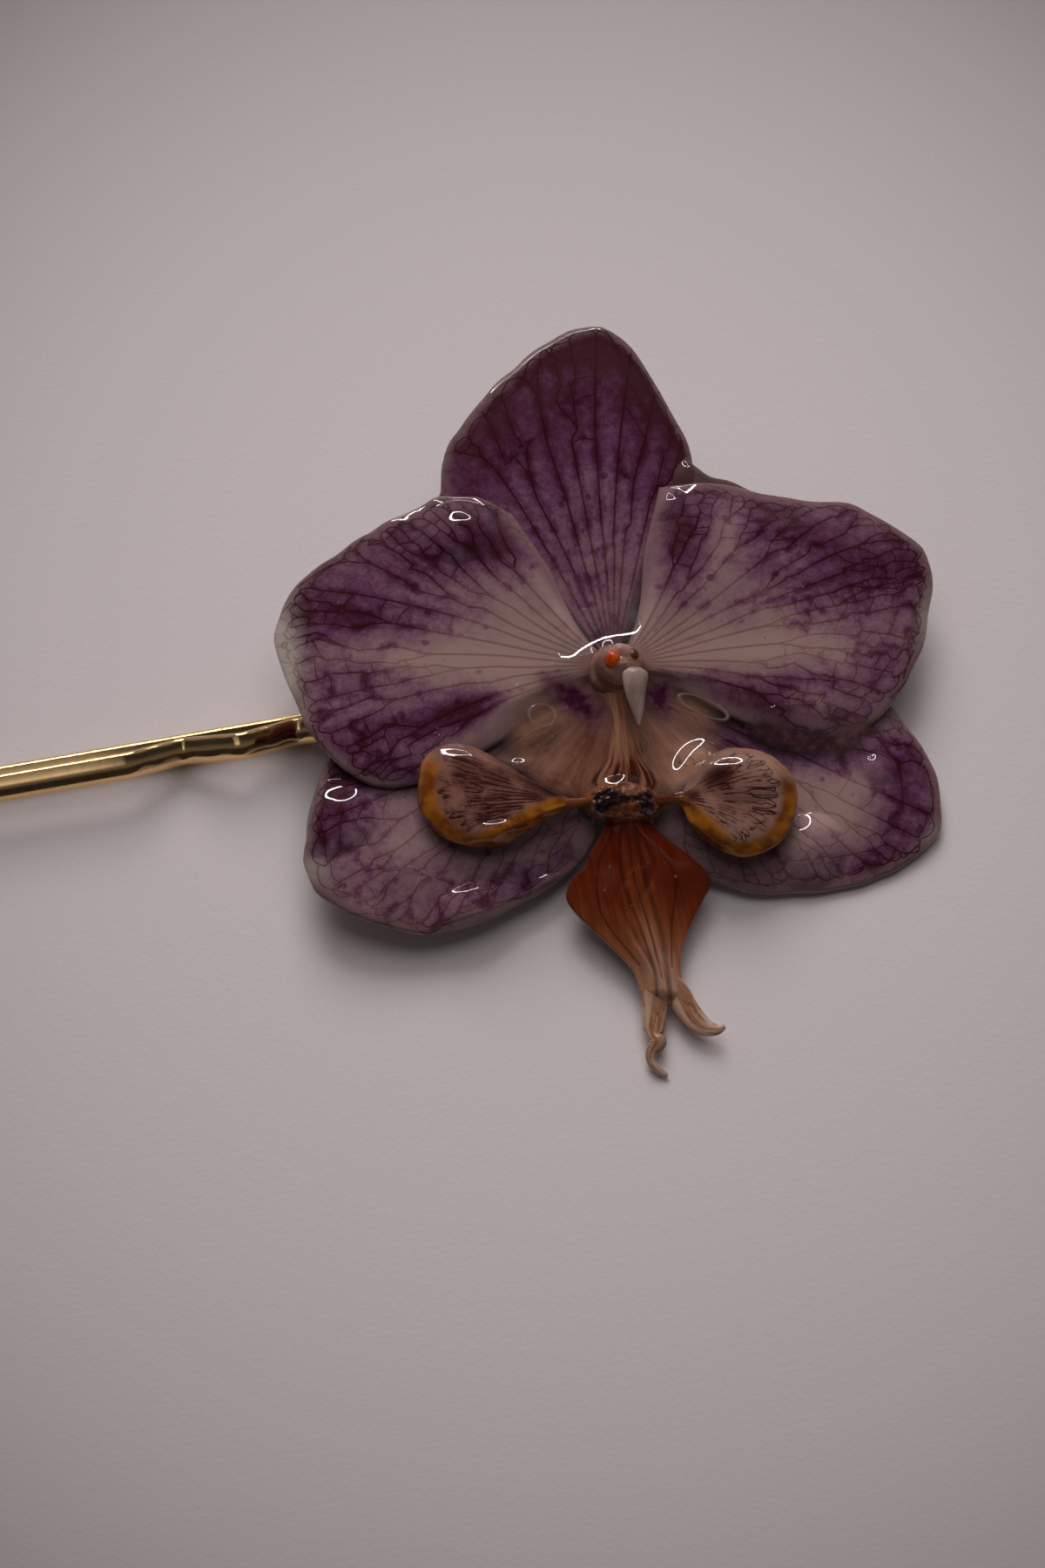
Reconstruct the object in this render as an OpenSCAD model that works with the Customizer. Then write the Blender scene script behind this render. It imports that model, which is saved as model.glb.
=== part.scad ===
/* [Hair pin] */
// Width of the oval wire
wire_w = 2; // [1.6:0.1:2.4]
// Thickness of the oval wire
wire_t = 1.1; // [0.8:0.05:1.2]
// From the middle of the flower to the open tips
tip_reach = 58; // [54:0.5:64]
// From the middle of the flower to where the closed end starts to turn
bend_reach = 5; // [4.6:0.1:8]
// Distance between the two legs' centrelines at the closed end
bend_gap = 1.7; // [1.5:0.05:2]
// Distance between the centrelines where the legs almost touch
leg_gap = 1.2; // [1.2:0.05:1.4]
// How far the waves swing away from the straight leg
wave_rise = 1.6; // [1:0.1:2]
// Length of one wave
wave_length = 8.3; // [7.5:0.1:9]
// Middle of the outermost swing of the waves, from the middle of the flower
wave_start = 35.8; // [34:0.1:38]
// Number of outward swings
wave_count = 3; // [2:1:3]
// How much further the wavy leg's tip turns out
tip_rise = 0.6; // [0.2:0.1:1.5]
// Angle by which the pin lies rolled over towards the viewer
pin_roll = 42.5; // [35:0.5:50]

/* [Flower] */
// Thickness of a petal with its resin
petal_t = 0.85; // [0.7:0.05:0.9]
// Thickness at a petal's rim
rim_t = 0.4; // [0.3:0.05:0.5]
// Gap between one layer of the flower and the next
layer_gap = 0.2; // [0.15:0.01:0.25]
// Rise of a sepal's middle over its ends
sepal_crown = 0.15; // [0:0.05:0.25]
// Rise of a petal's middle over its ends
petal_crown = 0.45; // [0.4:0.05:0.8]
// Angle by which the dorsal sepal stands up from the surface
flower_pitch = 8.9; // [8.2:0.1:9.2]
// Angle by which the left side stands up from the surface
flower_lean = 4.0; // [3.5:0.1:4.5]
// Angle by which the flower is turned on the pin
flower_turn = -11.5; // [-20:0.5:0]

/* [Lip] */
// Thickness of a side lobe with its resin
lobe_t = 0.7; // [0.5:0.05:0.8]
// Rise of a side lobe's middle
lobe_crown = 0.5; // [0.3:0.05:0.8]
// Thickness of the middle lobe
midlobe_t = 0.8; // [0.6:0.05:1]
// Height of the callus
callus_h = 1.9; // [1.4:0.1:2.2]

/* [Hidden] */

// The point under the middle of the flower, seen from the middle of the whole piece's footprint
pin_place = [16.95, 3.4, 0];

// Middle of the flower's back, seen from the straight leg under it
flower_centre = [-0.4, -2.35, 3.85];

// Columns of the fan tables: direction in degrees, reach of the rim and how far the rim lifts, in mm
ANGLE = 0;
REACH = 1;
LIFT = 2;
dorsal_rim = [[70, 17.0, 0], [72.5, 18.8, 0], [76.5, 20.6, 0], [81, 22.8, -0.2], [84, 24.7, -0.4],
              [86.5, 26.3, -0.6], [89, 27.6, -0.8], [92, 28.5, -1.0], [95.5, 28.4, -1.0],
              [98.5, 27.8, -0.8], [103.5, 26.6, -0.4], [109.5, 25.0, 0], [116, 23.4, 0.1],
              [122.5, 22.1, 0], [126, 21.3, 0], [133, 18.6, 0]];
left_sepal_rim = [[190, 16.0, 0], [196, 20.5, 0], [202, 22.6, 0], [208, 24.5, 0.1],
                  [214, 26.5, 0.4], [219, 27.2, 0.8], [224, 26.7, 1.0], [229, 25.8, 0.8],
                  [237, 24.0, 0.4], [244, 21.1, 0], [250, 18.3, 0], [257, 15.7, 0], [262, 13.8, 0],
                  [264, 12.0, 0]];
right_sepal_rim = [[-76, 12.0, 0], [-70, 14.8, 0], [-65, 16.7, 0], [-60, 18.4, 0], [-56, 19.4, 0],
                   [-52, 20.2, 0], [-46, 21.8, 0], [-40, 23.4, 0], [-34, 24.6, 0], [-29, 25.4, 0.1],
                   [-25, 25.8, 0.2], [-21, 25.2, 0.2], [-16, 24.1, 0.1], [-11, 22.6, 0],
                   [-7.5, 21.1, 0], [-3, 20.0, 0], [3, 17.0, 0]];
left_petal_rim = [[122, 14.0, 0.2], [126, 16.3, 0.2], [130, 17.3, 0.2], [134, 18.5, 0.1],
                  [141, 19.2, 0], [150, 20.7, -0.3], [157, 22.1, -0.8], [163, 23.5, -1.2],
                  [168, 24.4, -1.4], [174, 24.6, -1.3], [179, 24.1, -1.0], [187, 23.0, -0.3],
                  [193, 22.5, 0], [199, 21.7, 0.1], [204, 20.8, 0.2], [209, 19.5, 0.3],
                  [213, 17.3, 0.3], [215, 14.0, 0.3]];
right_petal_rim = [[-21.5, 12.5, 0.2], [-17, 16.0, 0.2], [-12.5, 17.8, 0.2], [-8.5, 19.2, 0.1],
                   [-3.5, 20.2, 0.1], [4.5, 21.8, -0.2], [11, 23.0, -0.4], [17.5, 24.2, -0.6],
                   [21, 24.9, -0.6], [26, 25.0, -0.5], [28, 24.5, -0.4], [33.5, 23.4, -0.2],
                   [39.5, 22.2, 0], [46, 19.5, 0.1], [52, 18.2, 0.1], [56.5, 17.7, 0.1],
                   [63.5, 16.9, 0.1], [73, 15.7, 0.2], [78, 15.0, 0.2]];
left_lobe_rim = [[152, 8.6, 0], [154.5, 9.9, 0], [158, 10.7, 0], [162, 11.3, 0], [167, 11.5, 0],
                 [177, 11.5, 0], [182, 11.4, 0], [187.5, 11.0, 0], [192, 10.5, 0], [196.5, 10.0, 0],
                 [201, 9.2, 0], [205.5, 8.1, 0], [210, 6.9, 0], [212, 5.6, 0]];
right_lobe_rim = [[-46, 3.6, 0], [-42, 5.6, 0], [-36.5, 6.9, 0], [-29, 7.8, 0], [-21, 8.6, 0],
                  [-11, 9.1, 0], [-2, 9.4, 0], [6, 9.5, 0], [14, 9.4, 0], [22.5, 8.8, 0],
                  [30, 8.0, 0], [37, 7.0, 0], [43.5, 5.9, 0], [48, 4.2, 0]];

// How far the strip of resin reaches beyond the right petal's rim, for a few directions
web_rim = [[40, 0.15], [46, 0.6], [51, 0.9], [56.5, 1.0], [63.5, 1.3], [68.5, 1.9]];

// Columns of the middle lobe's table: distance below the flower's middle, left and right edge, and underside
DOWN = 0;
LEFT = 1;
RIGHT = 2;
UNDER = 3;
midlobe_rows = [[12.1, -0.9, 2.9, 1.0], [13.5, -1.6, 5.0, 1.0], [14.8, -2.2, 6.4, 1.0],
                [15.8, -3.0, 6.8, 1.0], [17.2, -3.4, 6.2, 1.0], [18.7, -2.4, 5.5, 1.0],
                [20.7, -0.3, 4.8, 1.05], [22.5, 1.3, 4.7, 1.1], [24.0, 1.8, 5.1, 1.1],
                [25.0, 2.0, 5.7, 1.1]];

// Columns of the swept pieces' tables: place from the flower's middle, half width and half height
X = 0;
Y = 1;
Z = 2;
HALF_W = 3;
HALF_H = 4;
left_tendril_rows = [[2.9, -24.4, 1.45, 0.95, 0.32], [2.8, -25.6, 1.45, 0.85, 0.32],
                     [2.75, -26.8, 1.5, 0.75, 0.3], [2.7, -27.8, 1.6, 0.6, 0.3],
                     [2.85, -28.8, 1.5, 0.42, 0.25], [3.3, -29.5, 1.4, 0.32, 0.2],
                     [3.85, -30.0, 1.35, 0.15, 0.12]];
right_tendril_rows = [[4.5, -24.1, 1.45, 0.9, 0.32], [5.0, -25.1, 1.5, 0.85, 0.3],
                      [5.6, -26.0, 1.65, 0.8, 0.28], [6.3, -26.6, 1.75, 0.65, 0.26],
                      [7.1, -26.8, 1.85, 0.42, 0.24], [7.7, -26.6, 2.0, 0.15, 0.12]];
column_rows = [[0.1, -0.35, 2.1, 1.5, 1.35], [0.15, -0.3, 2.8, 1.75, 1.6],
               [0.15, -0.3, 3.6, 1.75, 1.6], [0.15, -0.35, 4.3, 1.35, 1.2],
               [0.15, -0.4, 4.7, 0.7, 0.6]];
cap_rows = [[1.15, -1.25, 4.75, 0.35, 0.2], [1.15, -1.55, 4.7, 0.7, 0.42],
            [1.15, -2.3, 4.6, 0.75, 0.5], [1.2, -3.3, 4.45, 0.6, 0.42],
            [1.3, -4.3, 4.3, 0.38, 0.28], [1.4, -5.15, 4.15, 0.12, 0.1]];
claw_rows = [[-0.1, -2.1, 2.45, 0.85, 0.38], [0.0, -2.9, 2.45, 0.75, 0.4],
             [0.25, -4.2, 2.4, 0.75, 0.4], [0.4, -6.0, 2.35, 1.15, 0.42],
             [0.6, -7.3, 2.3, 1.8, 0.42], [0.7, -8.0, 2.25, 2.2, 0.4]];

// Where each side lobe is rooted, how narrow its neck is, and the callus between them
left_lobe_base = [-2.6, -10.6];
right_lobe_base = [3.4, -10.1];
left_lobe_neck = 0.8;
right_lobe_neck = 0.25;
callus_centre = [0.5, -10.15];
callus_half = [2.9, 1.6];

// The two pollinia in their seats
left_pollinium_place = [-0.45, -0.35, 4.3];
right_pollinium_place = [0.95, 0.1, 4.15];
pollinium_r = 0.6;
pollinium_gap = 0.08;

// The dab of resin: half sizes of its top, depth, and gap round the wire
dab_centre = [-0.4, 0.6];
dab_half = [5.5, 4.2];
dab_depth = 2.1;
dab_gap = 0.12;

// Where leaves start, how narrow their base is, and how wide the band is that thins towards their edges
leaf_start = 1.9;
lobe_start = 0.35;
sepal_waist = 0.85;
petal_waist = 0.8;
waist_run = 1.6;
edge_band = 0.25;
lobe_gap = 0.45;

// How finely each kind of piece is divided, and over how many degrees a rim's corners are softened
leaf_grid = [26, 8];
lobe_grid = [16, 5];
soften = 1.5;
wire_sides = 14;
strand_sides = 10;
stack_sides = 14;
wave_rings = 10;

petal_level = petal_t + layer_gap;
lobe_level = petal_level + petal_t + lobe_gap;
leg_height = sqrt(pow(wire_w / 2 * sin(pin_roll), 2) + pow(wire_t / 2 * cos(pin_roll), 2));
wave_end = wave_start - (wave_count - 0.5) * wave_length;

// Over what length the legs open towards the closed end, and towards the tips
close_run = 6;
tip_run = 6;

function mix(a, b, t) = a + (b - a) * t;
function ease(t) = t <= 0 ? 0 : t >= 1 ? 1 : t * t * (3 - 2 * t);
function pairs_of(table, c) = [for (row = table) [row[0], row[c]]];

// A table's column at a key, with the corners between its rows softened
function read(table, key, c) =
    let (pairs = pairs_of(table, c))
    (lookup(key - soften, pairs) + 2 * lookup(key, pairs) + lookup(key + soften, pairs)) / 4;

// Triangles of two grids of points, one over the other, closed round their edges
function slab_faces(n_i, n_j) =
    let (n = n_i * n_j)
    [for (i = [0 : n_i - 2], j = [0 : n_j - 2], half = [0, 1])
         let (a = i * n_j + j, b = a + n_j, c = b + 1, d = a + 1)
         half == 0 ? [a, b, c] : [a, c, d],
     for (i = [0 : n_i - 2], j = [0 : n_j - 2], half = [0, 1])
         let (a = n + i * n_j + j, b = a + n_j, c = b + 1, d = a + 1)
         half == 0 ? [c, b, a] : [d, c, a],
     for (i = [0 : n_i - 2], side = [0, n_j - 1], half = [0, 1])
         let (a = i * n_j + side, b = a + n_j, wall = half == 0 ? [a, n + a, n + b] : [a, n + b, b])
         side == 0 ? wall : [wall[2], wall[1], wall[0]],
     for (j = [0 : n_j - 2], side = [0, n_i - 1], half = [0, 1])
         let (a = side * n_j + j, b = a + 1, wall = half == 0 ? [a, b, n + b] : [a, n + b, n + a])
         side == 0 ? wall : [wall[2], wall[1], wall[0]]];

// A closed sheet between two grids, each a list of rows of points; the upper grid comes first
module slab(upper, lower) {
    points = [for (grid = [upper, lower], row = grid, p = row) p];
    polyhedron(points = points, faces = slab_faces(len(upper), len(upper[0])), convexity = 6);
}

// A leaf that fans out from its base to its rim, with its thickness falling off towards the edges
module fan(table, base, first_r, waist, level, thick, crown, grid) {
    steps = grid[0];
    rings = grid[1];
    start = table[0][ANGLE];
    end = table[len(table) - 1][ANGLE];
    middle = (start + end) / 2;
    function under(u, v) =
        let (key = mix(start, end, u),
             angle = middle + (key - middle) * mix(waist, 1, ease(waist_run * v)),
             r = mix(first_r, read(table, key, REACH), v))
        [base[X] + r * cos(angle), base[Y] + r * sin(angle),
         level + crown * 4 * v * (1 - v) + read(table, key, LIFT) * v * v];
    function depth(u, v) = mix(rim_t, thick, ease(min(1 - v, 2 * min(u, 1 - u)) / edge_band));
    lower = [for (i = [0 : steps]) [for (j = [0 : rings]) under(i / steps, j / rings)]];
    upper = [for (i = [0 : steps]) [for (j = [0 : rings])
                 lower[i][j] + [0, 0, depth(i / steps, j / rings)]]];
    slab(upper, lower);
}

module sepal(rim) {
    on_flower() fan(rim, [0, 0], leaf_start, sepal_waist, 0, petal_t, sepal_crown, leaf_grid);
}

module petal(rim) {
    on_flower() fan(rim, [0, 0], leaf_start, petal_waist, petal_level, petal_t, petal_crown, leaf_grid);
}

module side_lobe(rim, base, neck) {
    on_flower() fan(rim, base, lobe_start, neck, lobe_level, lobe_t, lobe_crown, lobe_grid);
}

// A closed tube through rings of points
module tube(rings) {
    sides = len(rings[0]);
    last = len(rings) - 1;
    points = [for (ring = rings, p = ring) p];
    walls = [for (k = [0 : last - 1], s = [0 : sides - 1], half = [0, 1])
                 let (a = k * sides + s, b = k * sides + (s + 1) % sides, c = b + sides, d = a + sides)
                 half == 0 ? [a, c, b] : [a, d, c]];
    first_end = [for (s = [1 : sides - 2]) [0, s, s + 1]];
    last_end = [for (s = [1 : sides - 2]) [last * sides, last * sides + s + 1, last * sides + s]];
    polyhedron(points = points, faces = concat(walls, first_end, last_end), convexity = 8);
}

// A tapering strand that lies along its rows, with level oval sections across its run
module strand(rows) {
    last = len(rows) - 1;
    function heading(k) =
        let (d = rows[min(k + 1, last)] - rows[max(k - 1, 0)])
        atan2(d[Y], d[X]);
    tube([for (k = [0 : last])
              let (row = rows[k], a = heading(k))
              [for (s = [0 : strand_sides - 1])
                   let (t = 360 * s / strand_sides)
                   [row[X] - row[HALF_W] * cos(t) * sin(a), row[Y] + row[HALF_W] * cos(t) * cos(a),
                    row[Z] + row[HALF_H] * sin(t)]]]);
}

// A stack of level ovals, one for each row
module stack(rows) {
    tube([for (row = rows)
              [for (s = [0 : stack_sides - 1])
                   let (t = 360 * s / stack_sides)
                   [row[X] + row[HALF_W] * cos(t), row[Y] + row[HALF_H] * sin(t), row[Z]]]]);
}

// Places a piece of the flower on the pin
module on_flower() {
    translate(pin_place + flower_centre) rotate([flower_pitch, flower_lean, flower_turn]) children();
}

// Places a piece of the pin: X runs to the closed end, Y across the wire, Z from one leg to the other
module on_pin() {
    translate(pin_place + [0, 0, leg_height]) rotate([pin_roll, 0, 0]) children();
}

// A wave like a triangle with round corners, from 1 at its outward swings to -1 at its inward ones
function wave(x) =
    let (t = 360 * (x + wave_start) / wave_length)
    (cos(t) + cos(3 * t) / 9) / (1 + 1 / 9);

// Height of the wavy leg's centreline over the straight leg's
function wavy_height(x) =
    x > -wave_end ? leg_gap + (bend_gap - leg_gap) * ease((x + wave_end) / close_run)
    : x > -wave_start ? leg_gap + wave_rise * (1 + wave(x)) / 2
    : leg_gap + wave_rise + tip_rise * ease((-tip_reach + tip_run - x) / tip_run);

// Places along the wavy leg, from its closed end to its tip
wavy_places = [bend_reach, -wave_end + close_run, -wave_end + close_run / 2,
               each [for (k = [0 : (wave_count - 0.5) * wave_rings])
                         -wave_end - k * wave_length / wave_rings],
               -wave_start - 1.5, -tip_reach + tip_run, -tip_reach + 4, -tip_reach + 2, -tip_reach + 0.9];

// Columns of the pin's centreline: place, height, heading and size of the section
PLACE = 0;
HEIGHT = 1;
HEADING = 2;
SIZE = 3;
function pin_row(x, h, heading, size) = [x, h, heading, size];
straight_leg = [pin_row(-tip_reach, 0, 0, 0.3), pin_row(-tip_reach + 0.15, 0, 0, 0.7),
                pin_row(-tip_reach + 0.5, 0, 0, 1), pin_row(-wave_start, 0, 0, 1),
                pin_row(-wave_end, 0, 0, 1), pin_row(bend_reach, 0, 0, 1)];
closed_end = [for (a = [22.5 : 22.5 : 157.5])
                  pin_row(bend_reach + bend_gap / 2 * sin(a), bend_gap / 2 * (1 - cos(a)), a, 1)];
wavy_leg = [for (x = wavy_places)
                let (slope = (wavy_height(x + 0.1) - wavy_height(x - 0.1)) / 0.2)
                pin_row(x, wavy_height(x), 180 + atan(slope), 1)];
wavy_tip = [pin_row(-tip_reach + 0.4, wavy_height(-tip_reach + 0.4), 180, 0.95),
            pin_row(-tip_reach + 0.1, wavy_height(-tip_reach + 0.1), 180, 0.7),
            pin_row(-tip_reach, wavy_height(-tip_reach), 180, 0.3)];

// One ring of the wire's oval section round a row of the centreline
function wire_ring(row, spare) =
    [for (s = [0 : wire_sides - 1])
         let (t = 360 * s / wire_sides,
              across = (wire_w / 2 + spare) * row[SIZE] * cos(t),
              out = (wire_t / 2 + spare) * row[SIZE] * sin(t))
         [row[PLACE] - out * sin(row[HEADING]), across, row[HEIGHT] + out * cos(row[HEADING])]];

// The wire pin, bent from one length: a straight leg, the closed end and a wavy leg
module hair_pin() {
    color("goldenrod")
        on_pin() tube([for (row = concat(straight_leg, closed_end, wavy_leg, wavy_tip))
            wire_ring(row, 0)]);
}

// The dab of resin under the flower that grips the pin's closed end
module resin_dab() {
    smallest = 0.2;
    color("wheat")
        difference() {
            on_flower() stack([for (a = [90, 60, 35, 0])
                let (size = max(smallest, cos(a)))
                [dab_centre[X], dab_centre[Y], -layer_gap - dab_depth * sin(a),
                 size * dab_half[X], size * dab_half[Y]]]);
            on_pin() rotate([90, 0, 90])
                linear_extrude(height = 24, center = true)
                    hull() for (h = [0, bend_gap])
                        polygon([for (p = wire_ring([0, h, 0, 1], dab_gap)) [p[Y], p[Z]]]);
        }
}

module dorsal_sepal() {
    color("indigo") sepal(dorsal_rim);
}

module left_sepal() {
    color("mediumpurple") sepal(left_sepal_rim);
}

module right_sepal() {
    color("mediumpurple") sepal(right_sepal_rim);
}

module left_petal() {
    color("rebeccapurple") petal(left_petal_rim);
}

module right_petal() {
    color("rebeccapurple") petal(right_petal_rim);
}

// The strip of resin that bridges the dorsal sepal and the right petal
module resin_web() {
    web_in = 1.2;
    web_t = 0.55;
    web_level = 0.2;
    web_steps = 14;
    function at(i, out, z) =
        let (a = mix(web_rim[len(web_rim) - 1][ANGLE], web_rim[0][ANGLE], i / web_steps),
             r = read(right_petal_rim, a, REACH) + (out ? lookup(a, web_rim) : -web_in))
        [r * cos(a), r * sin(a), z];
    function grid(z) = [for (i = [0 : web_steps]) [at(i, true, z), at(i, false, z)]];
    color("saddlebrown")
        on_flower() slab(grid(web_level + web_t), grid(web_level));
}

// The stalk of the lip, from the column's foot to the callus
module lip_claw() {
    color("peru")
        on_flower() strand(claw_rows);
}

// The bumpy callus in the middle of the lip: a dome with a furrow along it
module lip_callus() {
    steps = 20;
    rings = 5;
    bottom = 1.3;
    side_h = 0.3;
    lump = 0.22;
    furrow = 0.35;
    function at(u, v, z) =
        let (a = 360 * u, c = callus_centre)
        [c[X] + callus_half[X] * v * cos(a), c[Y] + callus_half[Y] * v * sin(a), z];
    function top(u, v) =
        bottom + side_h + callus_h * sqrt(max(0, 1 - v * v)) * (1 - lump * cos(720 * u) * v)
        - furrow * (1 - ease(2 * v));
    innermost = 0.06;
    rings_up = [for (k = [rings - 1 : -1 : 0])
                    let (v = max(innermost, k / rings))
                    [for (s = [0 : steps - 1]) at(s / steps, v, top(s / steps, v))]];
    color("maroon")
        on_flower() tube(concat([[for (s = [0 : steps - 1]) at(s / steps, 0.9, bottom)],
                                 [for (s = [0 : steps - 1]) at(s / steps, 1, bottom + side_h)]], rings_up));
}

module lip_left_lobe() {
    color("goldenrod") side_lobe(left_lobe_rim, left_lobe_base, left_lobe_neck);
}

module lip_right_lobe() {
    color("goldenrod") side_lobe(right_lobe_rim, right_lobe_base, right_lobe_neck);
}

// The middle lobe of the lip, shaped like an arrowhead, with its two tendrils
module lip_midlobe() {
    across = 8;
    ridge = 0.35;
    function at(row, k) =
        let (u = k / across, x = mix(row[LEFT], row[RIGHT], u))
        [x, -row[DOWN], row[UNDER] + ridge * ease(1 - abs(2 * u - 1))];
    lower = [for (k = [0 : across]) [for (row = midlobe_rows) at(row, k)]];
    upper = [for (k = [0 : across]) [for (j = [0 : len(midlobe_rows) - 1])
                 lower[k][j] + [0, 0, mix(rim_t, midlobe_t, ease(2 * min(k, across - k) / across))]]];
    color("sienna")
        on_flower() union() {
            slab(lower = lower, upper = upper);
            strand(left_tendril_rows);
            strand(right_tendril_rows);
        }
}

// The column, a swollen knob in the middle of the flower, with a seat for each pollinium
module column() {
    color("tan")
        on_flower() difference() {
            stack(column_rows);
            for (p = [left_pollinium_place, right_pollinium_place])
                translate(p) sphere(r = pollinium_r + pollinium_gap, $fn = 24);
        }
}

// The pale pointed cap that hangs over the column's front
module anther_cap() {
    color("whitesmoke")
        on_flower() strand(cap_rows);
}

module left_pollinium() {
    color("orangered")
        on_flower() translate(left_pollinium_place) sphere(r = pollinium_r, $fn = 24);
}

module right_pollinium() {
    color("sienna")
        on_flower() translate(right_pollinium_place) sphere(r = pollinium_r, $fn = 24);
}

hair_pin();
resin_dab();
dorsal_sepal();
left_sepal();
right_sepal();
left_petal();
right_petal();
resin_web();
lip_claw();
lip_callus();
lip_left_lobe();
lip_right_lobe();
lip_midlobe();
column();
anther_cap();
left_pollinium();
right_pollinium();
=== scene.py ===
# %% [markdown]
# # A hair grip with a real orchid cast in clear resin
# The real thing is one small moth orchid, pressed open, coated on both faces with clear glossy resin and
# stuck over the closed end of a gold wire grip. The solids of every piece come from the imported model. This
# script dresses them: it rebuilds the leaf-shaped pieces finely enough to carry veins, and gives each piece
# its finish.
#
# First the imported model is loaded, and its pieces are kept.

# %% Load the imported model
import math

import bmesh
import bpy
import numpy as np
from mathutils import Matrix, Vector, kdtree, noise
from mathutils.bvhtree import BVHTree


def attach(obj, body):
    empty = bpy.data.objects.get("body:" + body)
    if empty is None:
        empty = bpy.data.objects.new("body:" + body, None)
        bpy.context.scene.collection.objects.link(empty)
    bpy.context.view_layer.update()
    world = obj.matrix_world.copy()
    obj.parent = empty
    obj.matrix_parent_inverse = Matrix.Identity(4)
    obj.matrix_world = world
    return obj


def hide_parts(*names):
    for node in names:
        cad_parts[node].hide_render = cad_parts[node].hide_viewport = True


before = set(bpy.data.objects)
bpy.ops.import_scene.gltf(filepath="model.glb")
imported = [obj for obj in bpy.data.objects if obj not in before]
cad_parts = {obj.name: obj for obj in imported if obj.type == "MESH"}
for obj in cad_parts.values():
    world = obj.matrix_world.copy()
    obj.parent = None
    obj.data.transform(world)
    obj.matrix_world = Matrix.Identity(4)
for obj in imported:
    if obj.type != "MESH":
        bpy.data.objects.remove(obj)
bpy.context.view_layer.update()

MM = 0.001

# %% [markdown]
# The flower lies tilted on the grip, so its pieces are easiest to model flat, in millimetres, with the
# middle of its back at zero. One matrix then carries them to their real place. The grip is modelled the same
# way in its own plane, in which the two legs lie over each other, and has a matrix too.

# %% Where the flower and the grip lie
PITCH, LEAN, TURN = (math.radians(a) for a in (8.9, 4.0, -11.5))
PIN_ROLL = math.radians(42.5)
PIN_PLACE = Vector((16.95, 3.4, 0.0))
FLOWER_MIDDLE = PIN_PLACE + Vector((-0.4, -2.35, 3.85))
WIRE_HALF_W, WIRE_HALF_T = 1.0, 0.55
leg_height = math.hypot(WIRE_HALF_W * math.sin(PIN_ROLL), WIRE_HALF_T * math.cos(PIN_ROLL))

flower_place = (Matrix.Scale(MM, 4) @ Matrix.Translation(FLOWER_MIDDLE) @ Matrix.Rotation(TURN, 4, "Z")
                @ Matrix.Rotation(LEAN, 4, "Y") @ Matrix.Rotation(PITCH, 4, "X"))
pin_place = (Matrix.Scale(MM, 4) @ Matrix.Translation(PIN_PLACE + Vector((0, 0, leg_height)))
             @ Matrix.Rotation(PIN_ROLL, 4, "X"))
print("flower's middle in mm:", [round(c / MM, 2) for c in flower_place.translation])

# %% [markdown]
# Every finished piece is handed over the same way: its bmesh becomes a mesh object at the origin, with its
# place in its vertices. Its faces are shaded smooth, as resin is. It rides on the only body, hides the solid
# that it replaces, and takes its finish as its one material. Where a film of resin will be laid over a piece
# later, its shape is also kept, still flat and in millimetres.

# %% Hand a finished piece over
film_lies_on = []


def hand_over(bm, name, material, place, replaces=(), under_film=False):
    if under_film:
        film_lies_on.append(BVHTree.FromBMesh(bm))
    bm.transform(place)
    for face in bm.faces:
        face.smooth = True
    mesh = bpy.data.meshes.new(name)
    bm.to_mesh(mesh)
    bm.free()
    mesh.materials.append(material)
    piece = bpy.data.objects.new(name, mesh)
    bpy.context.scene.collection.objects.link(piece)
    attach(piece, "root")
    if replaces:
        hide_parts(*replaces)
    print(f"{name}: {len(mesh.polygons)} faces")
    return piece

# %% [markdown]
# The camera stands above the flower's foot and looks down at it at 60 degrees, turned the same way as the
# flower. Its place follows from one known pair: where the flower's middle shows in the picture, and how many
# pixels one millimetre has there. A long lens keeps the flower's petals in the picture's proportions.

# %% Camera
PICTURE = (1200, 1800)
MIDDLE_SHOWS_AT = (705, 780)
PIXELS_PER_MM = 16
CAMERA_AWAY = 350.0
ELEVATION = math.radians(60)
LENS, SENSOR = 112.0, 36.0

right = Vector((math.cos(TURN), math.sin(TURN), 0))
ahead = Vector((-math.sin(TURN), math.cos(TURN), 0))
sight = ahead * math.cos(ELEVATION) - Vector((0, 0, 1)) * math.sin(ELEVATION)
up = ahead * math.sin(ELEVATION) + Vector((0, 0, 1)) * math.cos(ELEVATION)
off_right = (MIDDLE_SHOWS_AT[0] - PICTURE[0] / 2) / PIXELS_PER_MM
off_up = (PICTURE[1] / 2 - MIDDLE_SHOWS_AT[1]) / PIXELS_PER_MM
eye = FLOWER_MIDDLE - right * off_right - up * off_up - sight * CAMERA_AWAY

camera_data = bpy.data.cameras.new("camera")
camera_data.sensor_width = SENSOR
camera_data.lens = LENS
camera_data.clip_start = 0.01
camera = bpy.data.objects.new("camera", camera_data)
camera.matrix_world = Matrix.Translation(eye * MM) @ Matrix((right, up, -sight)).transposed().to_4x4()
bpy.context.scene.collection.objects.link(camera)
bpy.context.scene.camera = camera
print("camera in mm:", [round(c, 1) for c in eye])

# %% [markdown]
# ## Colours as they show
# A colour is written with the 8-bit values that it shows in the picture. It is made lighter than that,
# because the flower gets only a share of full light.

# %% Helpers for colours
LIGHT_SHARE = 0.55


def mix(a, b, share):
    return a + (b - a) * share


def seen_as(red, green, blue):
    """The colour of a finish that shows as these 8-bit values in this dim light"""
    levels = ((c / 255) for c in (red, green, blue))
    linear = [c / 12.92 if c <= 0.04045 else ((c + 0.055) / 1.055) ** 2.4 for c in levels]
    return (*(min(1.0, c / LIGHT_SHARE) for c in linear), 1.0)


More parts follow.
